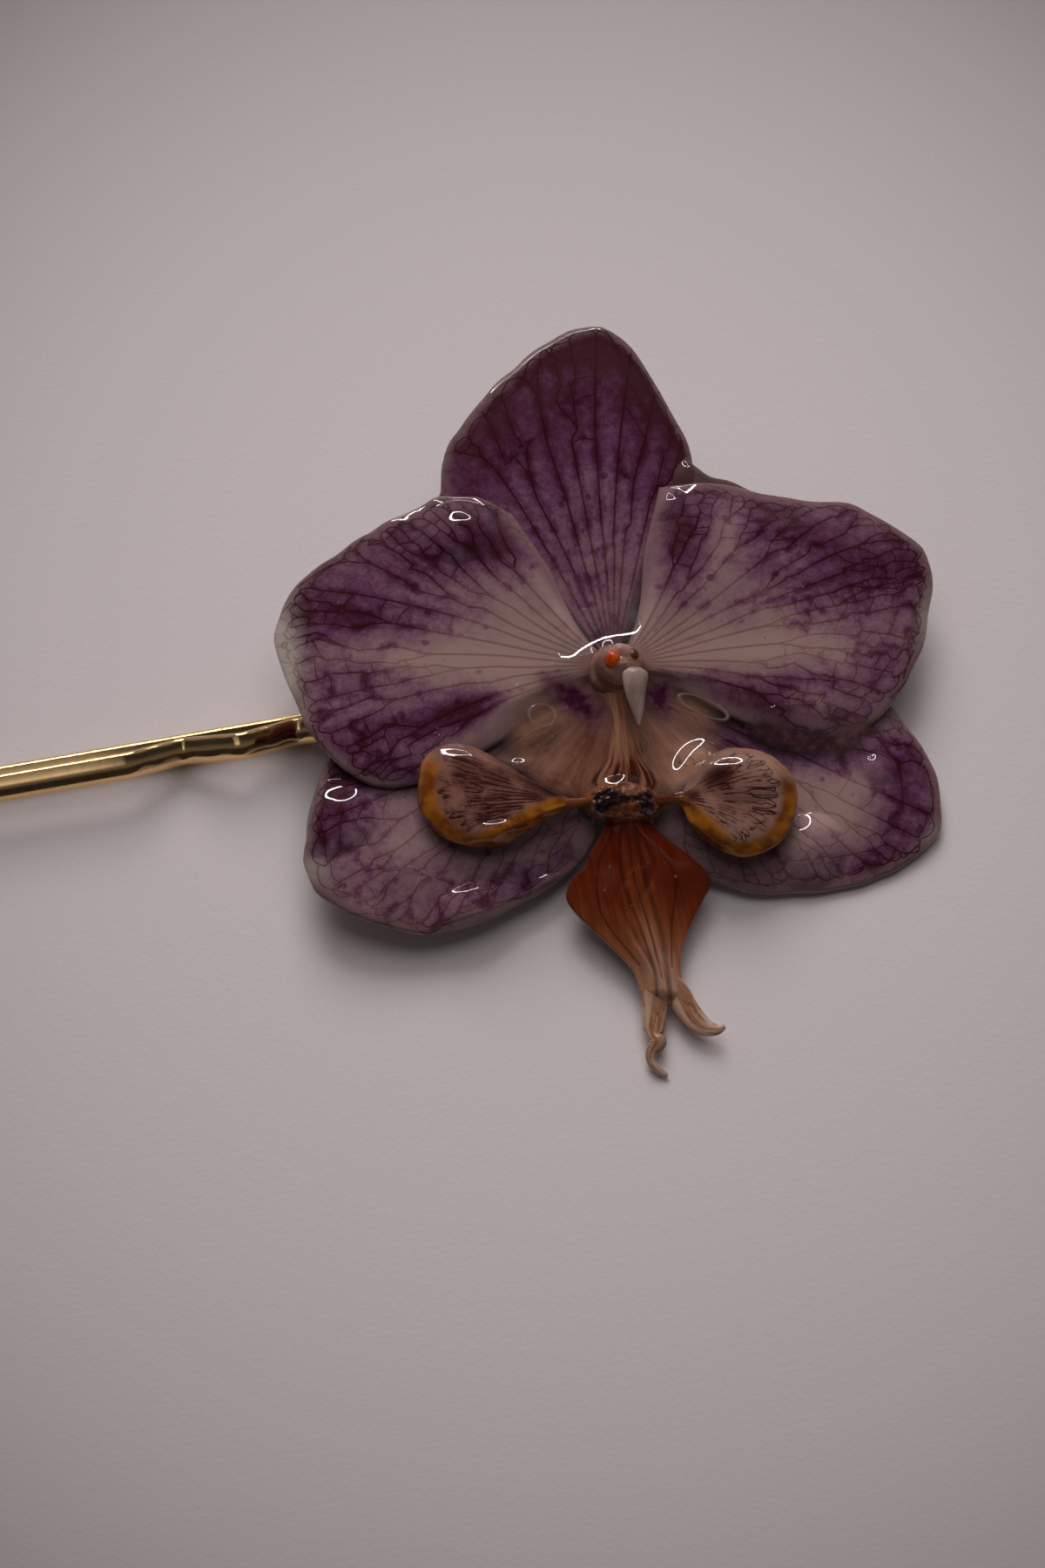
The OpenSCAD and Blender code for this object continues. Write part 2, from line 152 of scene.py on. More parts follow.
def tones(*stops):
    """The stops of a colour ramp, from rows of a place and three 8-bit values"""
    return tuple((place, seen_as(*colour)) for place, *colour in stops)


print("the colour that shows as a mid grey:", [round(c, 3) for c in seen_as(128, 128, 128)])

# %% [markdown]
# ## Helpers for the finishes
# Each finish is a tree of nodes. These helpers keep its lines short: each adds one node, or a few that often
# come together, and returns the output that the next one takes. The first ones reckon with values.

# %% Nodes that reckon
def new_material(name):
    material = bpy.data.materials.new(name)
    material.use_nodes = True
    material.node_tree.nodes.clear()
    return material, material.node_tree


def add_node(tree, kind, sockets=None, **settings):
    """A node of that kind; its sockets, by index or name, take a value or another node's output"""
    node = tree.nodes.new(kind)
    for name, value in settings.items():
        setattr(node, name, value)
    for key, value in (sockets or {}).items():
        if isinstance(value, bpy.types.NodeSocket):
            tree.links.new(value, node.inputs[key])
        else:
            node.inputs[key].default_value = value
    return node


def math_node(tree, operation, a, b=0.0, clamp=False):
    return add_node(tree, "ShaderNodeMath", {0: a, 1: b}, operation=operation, use_clamp=clamp).outputs[0]


def plus(tree, *values):
    total = values[0]
    for value in values[1:]:
        total = math_node(tree, "ADD", total, value)
    return total


def minus(tree, a, b):
    return math_node(tree, "SUBTRACT", a, b)


def times(tree, *values):
    product = values[0]
    for value in values[1:]:
        product = math_node(tree, "MULTIPLY", product, value)
    return product


def clamped(tree, value):
    """The value, kept between 0 and 1"""
    return math_node(tree, "MULTIPLY", value, 1.0, True)


def sway(tree, texture, amount):
    """A texture's departure from its middle, scaled"""
    return times(tree, minus(tree, texture, 0.5), amount)


def span(tree, value, low, high, out_low=0.0, out_high=1.0):
    """The value as a share of the way from low to high, eased at both ends"""
    return add_node(tree, "ShaderNodeMapRange", {0: value, 1: low, 2: high, 3: out_low, 4: out_high},
                    interpolation_type="SMOOTHSTEP").outputs[0]


print("nodes that reckon:", [f.__name__ for f in (math_node, plus, minus, times, clamped, sway, span)])

# %% [markdown]
# The next ones give colours and patterns, and the last two the glossy coat that most pieces share: a surface
# under clear resin, and the output that ends each tree.

# %% Nodes for patterns and for the coat
CLEAR_GLOSS, GLOSS_ROUGHNESS = 0.06, 0.02


def mix_colour(tree, amount, a, b, blend="MIX"):
    return add_node(tree, "ShaderNodeMix", {0: amount, 6: a, 7: b}, data_type="RGBA",
                    blend_type=blend).outputs[2]


def colour_ramp(tree, value, stops, interpolation="LINEAR"):
    ramp = add_node(tree, "ShaderNodeValToRGB", {0: value})
    ramp.color_ramp.interpolation = interpolation
    elements = ramp.color_ramp.elements
    while len(elements) < len(stops):
        elements.new(0.5)
    for element, (place, colour) in zip(elements, stops):
        element.position, element.color = place, colour
    return ramp.outputs[0]


def attribute(tree, name, kind="Fac"):
    return add_node(tree, "ShaderNodeAttribute", attribute_name=name).outputs[kind]


def object_coordinates(tree):
    return add_node(tree, "ShaderNodeTexCoord").outputs["Object"]


def noise_texture(tree, scale, detail=3.0, roughness=0.5, vector=None):
    """Noise over the piece, with its scale given for each metre"""
    return add_node(tree, "ShaderNodeTexNoise", {
        "Vector": vector or object_coordinates(tree), "Scale": scale, "Detail": detail,
        "Roughness": roughness}).outputs[0]


def streaks(tree, across, along, roughness=0.6):
    """Noise that is drawn out along a piece, by the coordinates that the piece carries"""
    stretched = add_node(tree, "ShaderNodeMapping", {
        "Vector": attribute(tree, "fan", "Vector"), "Scale": (across, along, 0.0)}).outputs[0]
    return noise_texture(tree, 1.0, 3.0, roughness, stretched)


def thin_lines(tree, streak, level, half_width):
    """1 where streaks pass through that level, and 0 beside it"""
    return span(tree, math_node(tree, "ABSOLUTE", minus(tree, streak, level)), half_width, 0.0)


def bump_normal(tree, height, strength, distance_mm):
    return add_node(tree, "ShaderNodeBump", {
        "Strength": strength, "Distance": distance_mm * MM, "Height": height}).outputs[0]


def resin_surface(tree, colour, **sockets):
    """The gloss that all cast pieces share, over a base of the given colour"""
    return add_node(tree, "ShaderNodeBsdfPrincipled", {
        "Base Color": colour, "Roughness": 0.6, "Specular IOR Level": 0.0, "Coat Weight": 1.0,
        "Coat Roughness": GLOSS_ROUGHNESS, "Coat IOR": 1.5, **sockets}).outputs[0]


def finish_with(tree, surface, see_through=None):
    """The material's output, with a share of the surface made clear: transparent, but for its gloss"""
    if see_through is not None:
        gone = add_node(tree, "ShaderNodeBsdfTransparent").outputs[0]
        gloss = add_node(tree, "ShaderNodeBsdfGlossy", {"Roughness": GLOSS_ROUGHNESS}).outputs[0]
        clear = add_node(tree, "ShaderNodeMixShader", {0: CLEAR_GLOSS, 1: gone, 2: gloss}).outputs[0]
        surface = add_node(tree, "ShaderNodeMixShader", {0: see_through, 1: surface, 2: clear}).outputs[0]
    add_node(tree, "ShaderNodeOutputMaterial", {"Surface": surface})


print("the coat's gloss:", CLEAR_GLOSS, "and its roughness:", GLOSS_ROUGHNESS)

# %% [markdown]
# ## Floor and room
# The floor is pale paper with a fine grain. Its colour is brightest round the flower and darkens towards the
# picture's corners: painted light, a pool of light and its fall-off painted into the paper. The gold shows
# what stands round it: a dark room in front and above, and a paler wall behind. So the world is a ramp from
# front to back over the top.

# %% Floor and world
FLOOR_HALF, PAPER, PAPER_GRAIN = 1.5, seen_as(180, 173, 173), 2600.0
PAINTED_POOL_MIDDLE, PAINTED_POOL_REACH = Vector((12.0, -1.0, 0.0)), Vector((71.0, 82.0, 80.0))
PAINTED_POOL_POWER, PAINTED_POOL_LOSS = 2.6, 0.53
ROOM_GLOW = ((0.0, 0.02), (0.16, 0.02), (0.24, 0.12), (0.33, 0.08), (0.42, 0.03), (0.62, 0.03),
             (0.78, 0.26), (1.0, 0.32))
ROOM_TINT = 0.92


def stage_mesh(bm, name, material):
    """An object that only this picture needs, and that is no part of the model"""
    mesh = bpy.data.meshes.new(name)
    bm.to_mesh(mesh)
    bm.free()
    mesh.materials.append(material)
    thing = bpy.data.objects.new(name, mesh)
    bpy.context.scene.collection.objects.link(thing)
    return thing


def make_floor():
    material, tree = new_material("paper_with_painted_pool")
    # The paper's colour darkens with distance from the flower: a pool of light and its fall-off towards the
    # corners, painted into the floor.
    pool = add_node(tree, "ShaderNodeMapping", {
        "Vector": object_coordinates(tree), "Location": PAINTED_POOL_MIDDLE * MM, "Rotation": (0, 0, TURN),
        "Scale": PAINTED_POOL_REACH * MM}, vector_type="TEXTURE").outputs[0]
    from_middle = add_node(tree, "ShaderNodeVectorMath", {0: pool}, operation="LENGTH").outputs["Value"]
    painted_falloff = math_node(tree, "MULTIPLY", math_node(tree, "POWER", from_middle, PAINTED_POOL_POWER), PAINTED_POOL_LOSS, True)
    paper = add_node(tree, "ShaderNodeBsdfPrincipled", {
        "Base Color": mix_colour(tree, painted_falloff, PAPER, (0.0, 0.0, 0.0, 1.0)), "Roughness": 0.75,
        "Specular IOR Level": 0.2, "Normal": bump_normal(tree, noise_texture(tree, PAPER_GRAIN, 2.0), 0.25,
                                                         0.1)})
    finish_with(tree, paper.outputs[0])
    bm = bmesh.new()
    bmesh.ops.create_grid(bm, x_segments=1, y_segments=1, size=FLOOR_HALF)
    stage_mesh(bm, "floor", material)


def make_world():
    world = bpy.data.worlds.new("dim_room")
    world.use_nodes = True
    tree = world.node_tree
    tree.nodes.clear()
    direction = add_node(tree, "ShaderNodeTexCoord").outputs["Generated"]
    _, along_y, along_z = add_node(tree, "ShaderNodeSeparateXYZ", {0: direction}).outputs
    over = math_node(tree, "ARCTAN2", math_node(tree, "MAXIMUM", along_z, 0.0), times(tree, along_y, -1.0))
    stops = [(place, (glow, glow * ROOM_TINT, glow * ROOM_TINT, 1.0)) for place, glow in ROOM_GLOW]
    glow = colour_ramp(tree, math_node(tree, "DIVIDE", over, math.pi), stops, "EASE")
    back = add_node(tree, "ShaderNodeBackground", {"Color": glow, "Strength": 1.0})
    add_node(tree, "ShaderNodeOutputWorld", {"Surface": back.outputs[0]})
    bpy.context.scene.world = world


make_floor()
make_world()
print("floor, mm wide:", round(2 * FLOOR_HALF / MM), "and world of", len(ROOM_GLOW), "levels")

# %% [markdown]
# ## Light
# The photo's light is soft and dim. Two wide lamps give it, one high above and one behind, and neither is
# mirrored in the resin. The resin shows another light, a thin ring, as small bright rings and arcs wherever
# its surface bulges: a glowing ring, which lights up nothing itself. Last comes a pale card, bent over the
# wire. Only the wire sees it, and gets its long bright bands from it.

# %% Lamps, ring and card
SOFT_LAMPS = {"high_lamp": ((40.0, 170.0, 520.0), 0.56, 0.82), "back_lamp": ((60.0, 520.0, 400.0), 0.4, 2.0)}
SOFT_COLOUR, SOFT_AIM = (1.0, 0.955, 0.95), Vector((0.0, -10.0, 0.0))
RING_RADII, RING_PLACE, RING_AIM = (0.150, 0.131), Vector((61.0, 535.0, 405.0)), Vector((10.0, 0.0, 4.0))
RING_COLOUR, RING_STRENGTH = (1.0, 0.97, 0.96, 1.0), 26.0
CARD_AXIS, CARD_AWAY, CARD_X, CARD_FROM, CARD_TO = Vector((0.0, 3.0, 1.0)), 80.0, (-46.0, -18.0), 46.0, 122.0
CARD_GLOW = ((0.0, 0.1), (0.14, 0.78), (0.34, 0.46), (0.55, 0.32), (0.85, 0.26), (1.0, 0.0))
CARD_TINT = (1.0, 0.965, 0.95)


def aim(lamp, place, target):
    lamp.location = place * MM
    lamp.rotation_euler = (target - place).to_track_quat("-Z", "Y").to_euler()


def make_soft_lamp(name, place, size, energy):
    data = bpy.data.lights.new(name, "AREA")
    data.shape, data.size, data.energy, data.color = "DISK", size, energy, SOFT_COLOUR
    lamp = bpy.data.objects.new(name, data)
    aim(lamp, Vector(place), SOFT_AIM)
    lamp.visible_glossy = False
    bpy.context.scene.collection.objects.link(lamp)


def glowing(tree, colour, strength):
    return add_node(tree, "ShaderNodeEmission", {"Color": colour, "Strength": strength}).outputs[0]


def make_ring_lamp():
    material, tree = new_material("ring_glow")
    finish_with(tree, glowing(tree, RING_COLOUR, RING_STRENGTH))
    bm = bmesh.new()
    for radius in RING_RADII:
        bmesh.ops.create_circle(bm, cap_ends=False, segments=96, radius=radius)
    bmesh.ops.bridge_loops(bm, edges=list(bm.edges))
    ring = stage_mesh(bm, "ring_lamp", material)
    aim(ring, RING_PLACE, RING_AIM)
    ring.visible_diffuse = False


def make_fill_card():
    """The card, and the collection of all that sees it"""
    material, tree = new_material("card_glow")
    _, along_y, along_z = add_node(tree, "ShaderNodeSeparateXYZ", {0: object_coordinates(tree)}).outputs
    over = math_node(tree, "ARCTAN2", minus(tree, along_z, CARD_AXIS.z * MM),
                     minus(tree, CARD_AXIS.y * MM, along_y))
    share = add_node(tree, "ShaderNodeMapRange", {
        0: over, 1: math.radians(CARD_FROM), 2: math.radians(CARD_TO)}).outputs[0]
    stops = [(place, (*(level * tint for tint in CARD_TINT), 1.0)) for place, level in CARD_GLOW]
    finish_with(tree, glowing(tree, colour_ramp(tree, share, stops), 1.0))
    bm = bmesh.new()
    bmesh.ops.create_grid(bm, x_segments=1, y_segments=48, size=0.5)
    for vert in bm.verts:
        angle = math.radians(mix(CARD_FROM, CARD_TO, vert.co.y + 0.5))
        around = Vector((0, -math.cos(angle), math.sin(angle))) * CARD_AWAY
        vert.co = (Vector((mix(*CARD_X, vert.co.x + 0.5), 0, 0)) + around + CARD_AXIS) * MM
    card = stage_mesh(bm, "fill_card", material)
    for ray_kind in ("camera", "diffuse", "transmission", "shadow"):
        setattr(card, "visible_" + ray_kind, False)
    card.light_linking.receiver_collection = bpy.data.collections.new("sees_the_card")
    return card.light_linking.receiver_collection


for lamp_name, lamp_row in SOFT_LAMPS.items():
    make_soft_lamp(lamp_name, *lamp_row)
make_ring_lamp()
sees_the_card = make_fill_card()
print("lamps:", ", ".join(SOFT_LAMPS), "and a ring and a card")

# %% [markdown]
# ## The leaves
# Sepals, petals and the lip's side lobes are all leaves that fan out from a narrow base. Each has a rim
# table: direction in degrees, reach in millimetres, and how far the rim lifts. The solids are made from the
# same tables, so a finely divided leaf lies just where its solid does. Between the rows the table is read
# softly, so the rim has no corners.

# %% Rim tables, in degrees and millimetres
RIMS = {
    "dorsal_sepal": [
        (70, 17.0, 0), (72.5, 18.8, 0), (76.5, 20.6, 0), (81, 22.8, -0.2), (84, 24.7, -0.4),
        (86.5, 26.3, -0.6), (89, 27.6, -0.8), (92, 28.5, -1.0), (95.5, 28.4, -1.0), (98.5, 27.8, -0.8),
        (103.5, 26.6, -0.4), (109.5, 25.0, 0), (116, 23.4, 0.1), (122.5, 22.1, 0), (126, 21.3, 0),
        (133, 18.6, 0)],
    "left_sepal": [
        (190, 16.0, 0), (196, 20.5, 0), (202, 22.6, 0), (208, 24.5, 0.1), (214, 26.5, 0.4), (219, 27.2, 0.8),
        (224, 26.7, 1.0), (229, 25.8, 0.8), (237, 24.0, 0.4), (244, 21.1, 0), (250, 18.3, 0), (257, 15.7, 0),
        (262, 13.8, 0), (264, 12.0, 0)],
    "right_sepal": [
        (-76, 12.0, 0), (-70, 14.8, 0), (-65, 16.7, 0), (-60, 18.4, 0), (-56, 19.4, 0), (-52, 20.2, 0),
        (-46, 21.8, 0), (-40, 23.4, 0), (-34, 24.6, 0), (-29, 25.4, 0.1), (-25, 25.8, 0.2), (-21, 25.2, 0.2),
        (-16, 24.1, 0.1), (-11, 22.6, 0), (-7.5, 21.1, 0), (-3, 20.0, 0), (3, 17.0, 0)],
    "left_petal": [
        (122, 14.0, 0.2), (126, 16.3, 0.2), (130, 17.3, 0.2), (134, 18.5, 0.1), (141, 19.2, 0),
        (150, 20.7, -0.3), (157, 22.1, -0.8), (163, 23.5, -1.2), (168, 24.4, -1.4), (174, 24.6, -1.3),
        (179, 24.1, -1.0), (187, 23.0, -0.3), (193, 22.5, 0), (199, 21.7, 0.1), (204, 20.8, 0.2),
        (209, 19.5, 0.3), (213, 17.3, 0.3), (215, 14.0, 0.3)],
    "right_petal": [
        (-21.5, 12.5, 0.2), (-17, 16.0, 0.2), (-12.5, 17.8, 0.2), (-8.5, 19.2, 0.1), (-3.5, 20.2, 0.1),
        (4.5, 21.8, -0.2), (11, 23.0, -0.4), (17.5, 24.2, -0.6), (21, 24.9, -0.6), (26, 25.0, -0.5),
        (28, 24.5, -0.4), (33.5, 23.4, -0.2), (39.5, 22.2, 0), (46, 19.5, 0.1), (52, 18.2, 0.1),
        (56.5, 17.7, 0.1), (63.5, 16.9, 0.1), (73, 15.7, 0.2), (78, 15.0, 0.2)],
    "lip_left_lobe": [
        (152, 8.6, 0), (154.5, 9.9, 0), (158, 10.7, 0), (162, 11.3, 0), (167, 11.5, 0), (177, 11.5, 0),
        (182, 11.4, 0), (187.5, 11.0, 0), (192, 10.5, 0), (196.5, 10.0, 0), (201, 9.2, 0), (205.5, 8.1, 0),
        (210, 6.9, 0), (212, 5.6, 0)],
    "lip_right_lobe": [
        (-46, 3.6, 0), (-42, 5.6, 0), (-36.5, 6.9, 0), (-29, 7.8, 0), (-21, 8.6, 0), (-11, 9.1, 0),
        (-2, 9.4, 0), (6, 9.5, 0), (14, 9.4, 0), (22.5, 8.8, 0), (30, 8.0, 0), (37, 7.0, 0), (43.5, 5.9, 0),
        (48, 4.2, 0)],
}
SOFTEN = 1.5
LIFT_SPAN = (-9, -6, -3, 0, 3, 6, 9)


def read_rim(rim, direction):
    """The rim's reach, with the corners between the rows softened"""
    keys, values = [row[0] for row in rim], [row[1] for row in rim]
    before, here, after = (np.interp(direction + d, keys, values) for d in (-SOFTEN, 0, SOFTEN))
    return (before + 2 * here + after) / 4


def read_lift(rim, direction):
    """The rim's lift, softened over a wider span, so that no crease runs in from a row of the table"""
    keys, lifts = [row[0] for row in rim], [row[2] for row in rim]
    return sum(np.interp(direction + d, keys, lifts) for d in LIFT_SPAN) / len(LIFT_SPAN)


def ease(share):
    share = np.clip(share, 0, 1)
    return share * share * (3 - 2 * share)


print("rims:", {name: len(rim) for name, rim in RIMS.items()})

# %% [markdown]
# A leaf is made from two flat grids, a fine one for its front and a coarser one for its back, each bent into
# shape. Their two borders are then bridged, which closes the piece. Other flat pieces of the flower are made
# the same way.

# %% Bend flat grids into closed pieces
BACK_COARSER = 4


def bend_grid(bm, place, steps_across, steps_along):
    """A flat grid, with each vertex where place puts it from its shares across and along, 0 to 1"""
    made = bmesh.ops.create_grid(bm, x_segments=steps_across, y_segments=steps_along, size=0.5)["verts"]
    flat = np.array([v.co for v in made])
    x, y, z = place(np.clip(flat[:, 0] + 0.5, 0, 1), np.clip(flat[:, 1] + 0.5, 0, 1))
    for vert, point in zip(made, zip(x, y, z)):
        vert.co = point
    return made


def closed_slab(front, back, steps_across, steps_along):
    bm = bmesh.new()
    bend_grid(bm, front, steps_across, steps_along)
    front_rim = [e for e in bm.edges if e.is_boundary]
    coarse = set(bend_grid(bm, back, steps_across // BACK_COARSER, steps_along // BACK_COARSER))
    back_rim = [e for e in bm.edges if e.is_boundary and e.verts[0] in coarse]
    bmesh.ops.bridge_loops(bm, edges=front_rim + back_rim)
    bmesh.ops.recalc_face_normals(bm, faces=bm.faces)
    return bm


def waves(x, y, size, seed):
    """Slow noise, from -1 to 1, with bumps of about that size in millimetres"""
    return np.array([noise.noise(Vector((a / size, b / size, seed))) for a, b in zip(x, y)])


print("waves of 2 mm, read at 0, 0.5 and 1 mm:", waves((0, 0.5, 1), (0, 0, 0), 2.0, 1).round(3).tolist())

# %% [markdown]
# The front gets what makes cast resin look cast: slow waves a few hundredths of a millimetre high, a rounded
# rim, a rim line that wanders a little because the coat follows a real petal's edge, a fillet where the coat
# climbs the column, and here and there a shallow drop where the resin gathered before it set.

# %% The shape of a leaf
PETAL_T, LOBE_T, RIM_T, LAYER_GAP, LOBE_GAP = 0.85, 0.7, 0.4, 0.2, 0.45
PETAL_LEVEL = PETAL_T + LAYER_GAP
LOBE_LEVEL = PETAL_LEVEL + PETAL_T + LOBE_GAP
EDGE_BAND, WAIST_RUN, FILLET_RUN = 0.25, 1.6, 1.2
THIN_RUN, THIN_BY, ROUND_RUN, ROUND_BY = 1.2, 0.3, 0.3, 0.4
WAVE_SIZE, WAVE_RUN, DROP_RUN = 6.0, 1.5, 0.7
NICK_PITCH, NICK_LAYER = 0.22, 7


def oval_shares(x, y, px, py, long_r, short_r, turn):
    """How far out each point lies along the two radii of a turned oval, as shares of them"""
    c, s = math.cos(math.radians(turn)), math.sin(math.radians(turn))
    return ((x - px) * c + (y - py) * s) / long_r, ((y - py) * c - (x - px) * s) / short_r


def drop_lift(x, y, drops):
    """The height of drops over a surface, each drop a middle, two radii, a turn in degrees and a height"""
    total = np.zeros(len(x))
    for *place, height in drops:
        a, b = oval_shares(x, y, *place)
        total += height * (1 - np.minimum(1, a ** 2 + b ** 2))
    return total


def rounded_rim(share):
    """How far a rim has dropped on its way over the edge, as a quarter of a circle, from 0 to 1"""
    return 1 - np.sqrt(1 - share ** 2)


class Leaf:
    """One leaf in millimetres: its rim table, base, thickness, crown, and how its coat departs from flat"""

    def __init__(self, rim, base, first_r, waist, level, thick, crown, wave, nick, fillet=0.0, drops=()):
        self.rim, self.base, self.first_r, self.waist = rim, base, first_r, waist
        self.level, self.thick, self.crown = level, thick, crown
        self.wave, self.nick, self.fillet, self.drops = wave, nick, fillet, drops
        self.start, self.end = rim[0][0], rim[-1][0]
        self.middle = (self.start + self.end) / 2

    def reach(self, direction):
        layer = self.level * NICK_LAYER
        nicks = np.array([noise.noise(Vector((d * NICK_PITCH, layer, self.start))) for d in direction])
        return read_rim(self.rim, direction) + self.nick * nicks

    def spread(self, across, along):
        key = mix(self.start, self.end, across)
        opening = mix(self.waist, 1, ease(WAIST_RUN * along))
        angle = np.radians(self.middle + (key - self.middle) * opening)
        r = mix(self.first_r, self.reach(key), along)
        x, y = self.base[0] + r * np.cos(angle), self.base[1] + r * np.sin(angle)
        lift = self.crown * 4 * along * (1 - along) + read_lift(self.rim, key) * along ** 2
        return x, y, r, self.level + lift

    def back(self, across, along):
        x, y, _, under = self.spread(across, along)
        return x, y, under

    def front(self, across, along):
        x, y, r, under = self.spread(across, along)
        to_side = np.minimum(across, 1 - across)
        edge = np.minimum(1 - along, 2 * to_side)
        rim_mm = np.minimum((1 - along) * r, math.radians(self.end - self.start) * r * to_side)
        top = under + mix(RIM_T, self.thick, ease(edge / EDGE_BAND))
        thinning = 1 - np.clip(rim_mm / THIN_RUN, 0, 1)
        top -= THIN_BY * RIM_T * thinning ** 2
        top -= ROUND_BY * RIM_T * rounded_rim(1 - np.clip(rim_mm / ROUND_RUN, 0, 1))
        top += self.wave * waves(x, y, WAVE_SIZE, self.level) * ease(rim_mm / WAVE_RUN)
        top += self.fillet * np.exp(-(r - self.first_r) / FILLET_RUN)
        return x, y, top + drop_lift(x, y, self.drops) * ease(rim_mm / DROP_RUN)


print("petal level in mm:", PETAL_LEVEL, "lobe level in mm:", round(LOBE_LEVEL, 2))

# %% [markdown]
# ## Veins
# A petal's main veins leave its base close together and part towards the rim. On the way each forks, and
# most of its branches fork again, with small kinks where they do. Short links join neighbours, more of them
# further out, and arches join their ends a millimetre short of the rim, so that the outer part is a net of
# long cells.

# %% Fork and link the veins of a leaf
OUTWARD = np.linspace(0, 1, 320)
MAIN_KINK, MAIN_CORNERS, BRANCH_KINK, BRANCH_CORNERS, KINK_RUN = 0.2, 5, 0.11, 18, 0.1
FORK_RUN, FORK_SPREAD, SHORTEST_VEIN, GATHER_POWER = 0.13, 0.27, 0.02, 0.75
LINK_POINTS, LINK_SWAY, LINK_REACH, LINK_STEPS, LINK_GROWTH = 16, 0.008, 0.03, (0.045, 0.12), 0.5
LINK_PAST_FORK, LINK_SHORT_OF_END, ARCH_BULGE = 0.04, 0.05, 0.02
BRANCH_W, VEIN_END_W, ARCH_W, LINK_W = 0.62, 0.7, 0.5, 0.45


def unit(vectors):
    return vectors / np.maximum(np.linalg.norm(vectors, axis=-1, keepdims=True), 1e-9)


def kinks(rng, count):
    """A line of straight pieces, with its corners anywhere along it, at heights from -1 to 1"""
    corners = np.sort(rng.uniform(0, 1, count))
    return np.interp(OUTWARD, corners, rng.uniform(-1, 1, count))


def fork_veins(mains, forks, rng):
    """Each vein as its direction all the way out, where it starts, and its share of the leaf in degrees"""
    veins = [(main + MAIN_KINK * gap * kinks(rng, MAIN_CORNERS) * ease(3 * OUTWARD), 0.0, gap)
             for main, gap in zip(mains, np.gradient(np.array(mains, float)))]
    for low, high, forking in forks:
        grown = []
        for key, start, gap in veins:
            at = rng.uniform(low, high)
            if rng.uniform() > forking:
                grown.append((key, start, gap))
                continue
            opening = gap * FORK_SPREAD * ease((OUTWARD - at) / FORK_RUN)
            for side, begin in ((-1, start), (1, at)):
                bends = gap * BRANCH_KINK * kinks(rng, BRANCH_CORNERS) * ease((OUTWARD - at) / KINK_RUN)
                grown.append((key + side * opening + bends, begin, gap / 2))
        veins = grown
    return sorted(veins, key=lambda vein: vein[0][-1])


def link(a, b, at_a, at_b, bulge, rng):
    """A short line between two veins: its shares of the way out, and its directions"""
    s = np.linspace(0, 1, LINK_POINTS)
    bend = bulge * np.sin(np.pi * s) + rng.uniform(-LINK_SWAY, LINK_SWAY) * (1 - np.abs(2 * s - 1))
    return mix(at_a, at_b, s) + bend, mix(np.interp(at_a, OUTWARD, a), np.interp(at_b, OUTWARD, b), s)


def grow_veins(leaf, chart, half_w, bare_mm):
    """All veins of a leaf as points along lines, with their headings and half widths"""
    rng = np.random.default_rng(chart["seed"])
    veins = fork_veins(chart["mains"], chart["forks"], rng)
    ends = 1 - rng.uniform(*bare_mm, len(veins)) / leaf.reach(np.array([key[-1] for key, _, _ in veins]))
    lines = []
    for (key, start, _), end in zip(veins, ends):
        on = (OUTWARD >= start) & (OUTWARD <= max(end, start + SHORTEST_VEIN))
        lines.append((OUTWARD[on], key[on],
                      half_w * (BRANCH_W if start else mix(1, VEIN_END_W, OUTWARD[on]))))
    for (a, a_start, _), (b, b_start, _), a_end, b_end in zip(veins, veins[1:], ends, ends[1:]):
        lines.append((*link(a, b, a_end, b_end, ARCH_BULGE, rng), ARCH_W * half_w))
        at, last = max(a_start, b_start) + LINK_PAST_FORK, min(a_end, b_end) - LINK_SHORT_OF_END
        while at < last:
            at += rng.uniform(*LINK_STEPS)
            if rng.uniform() < ease((at - chart["link_from"]) / LINK_GROWTH):
                far = at + rng.uniform(-LINK_REACH, LINK_REACH)
                lines.append((*link(a, b, at, far, 0.0, rng), LINK_W * half_w))
    places = []
    for share, key, width in lines:
        angle = leaf.middle + (key - leaf.middle) * mix(chart["gather"], 1, share ** GATHER_POWER)
        r = mix(leaf.first_r, leaf.reach(angle), share)
        angle = np.radians(angle)
        places.append((leaf.base + np.stack([r * np.cos(angle), r * np.sin(angle)], 1), width))
    return sample_lines(places)


print("a vein is drawn with", len(OUTWARD), "points, and a link with", LINK_POINTS)

# %% [markdown]
# A line is thinner than the gap between two vertices. So each vertex keeps two numbers: how far it is from
# the nearest vein, and how far to that vein's left or right. The second runs evenly through nought across a
# vein, and so draws a sharp line; the first tells it from the places midway between two veins, where the
# second jumps. A third number is the vein's half width there.

# %% Measure how far each point is from a vein
def sample_lines(lines):
    """Points along lines, each with its heading and its half width"""
    points = np.concatenate([line for line, _ in lines])
    headings = np.concatenate([unit(np.gradient(line, axis=0)) for line, _ in lines])
    widths = np.concatenate([np.broadcast_to(width, len(line)) for line, width in lines])
    return points, headings, widths


def measure_veins(x, y, points, headings, widths):
    """Each point's distance from the nearest vein, how far it is to that vein's left, and its half width"""
    tree = kdtree.KDTree(len(points))
    for k, (a, b) in enumerate(points):
        tree.insert((a, b, 0), k)
    tree.balance()
    nearest = np.array([tree.find((a, b, 0))[1] for a, b in zip(x, y)])
    away = np.stack([x, y], 1) - points[nearest]
    side = headings[nearest, 0] * away[:, 1] - headings[nearest, 1] * away[:, 0]
    return np.hypot(away[:, 0], away[:, 1]), side, widths[nearest]


print("a vein's half width shrinks outwards to", VEIN_END_W, "and a branch starts with", BRANCH_W)

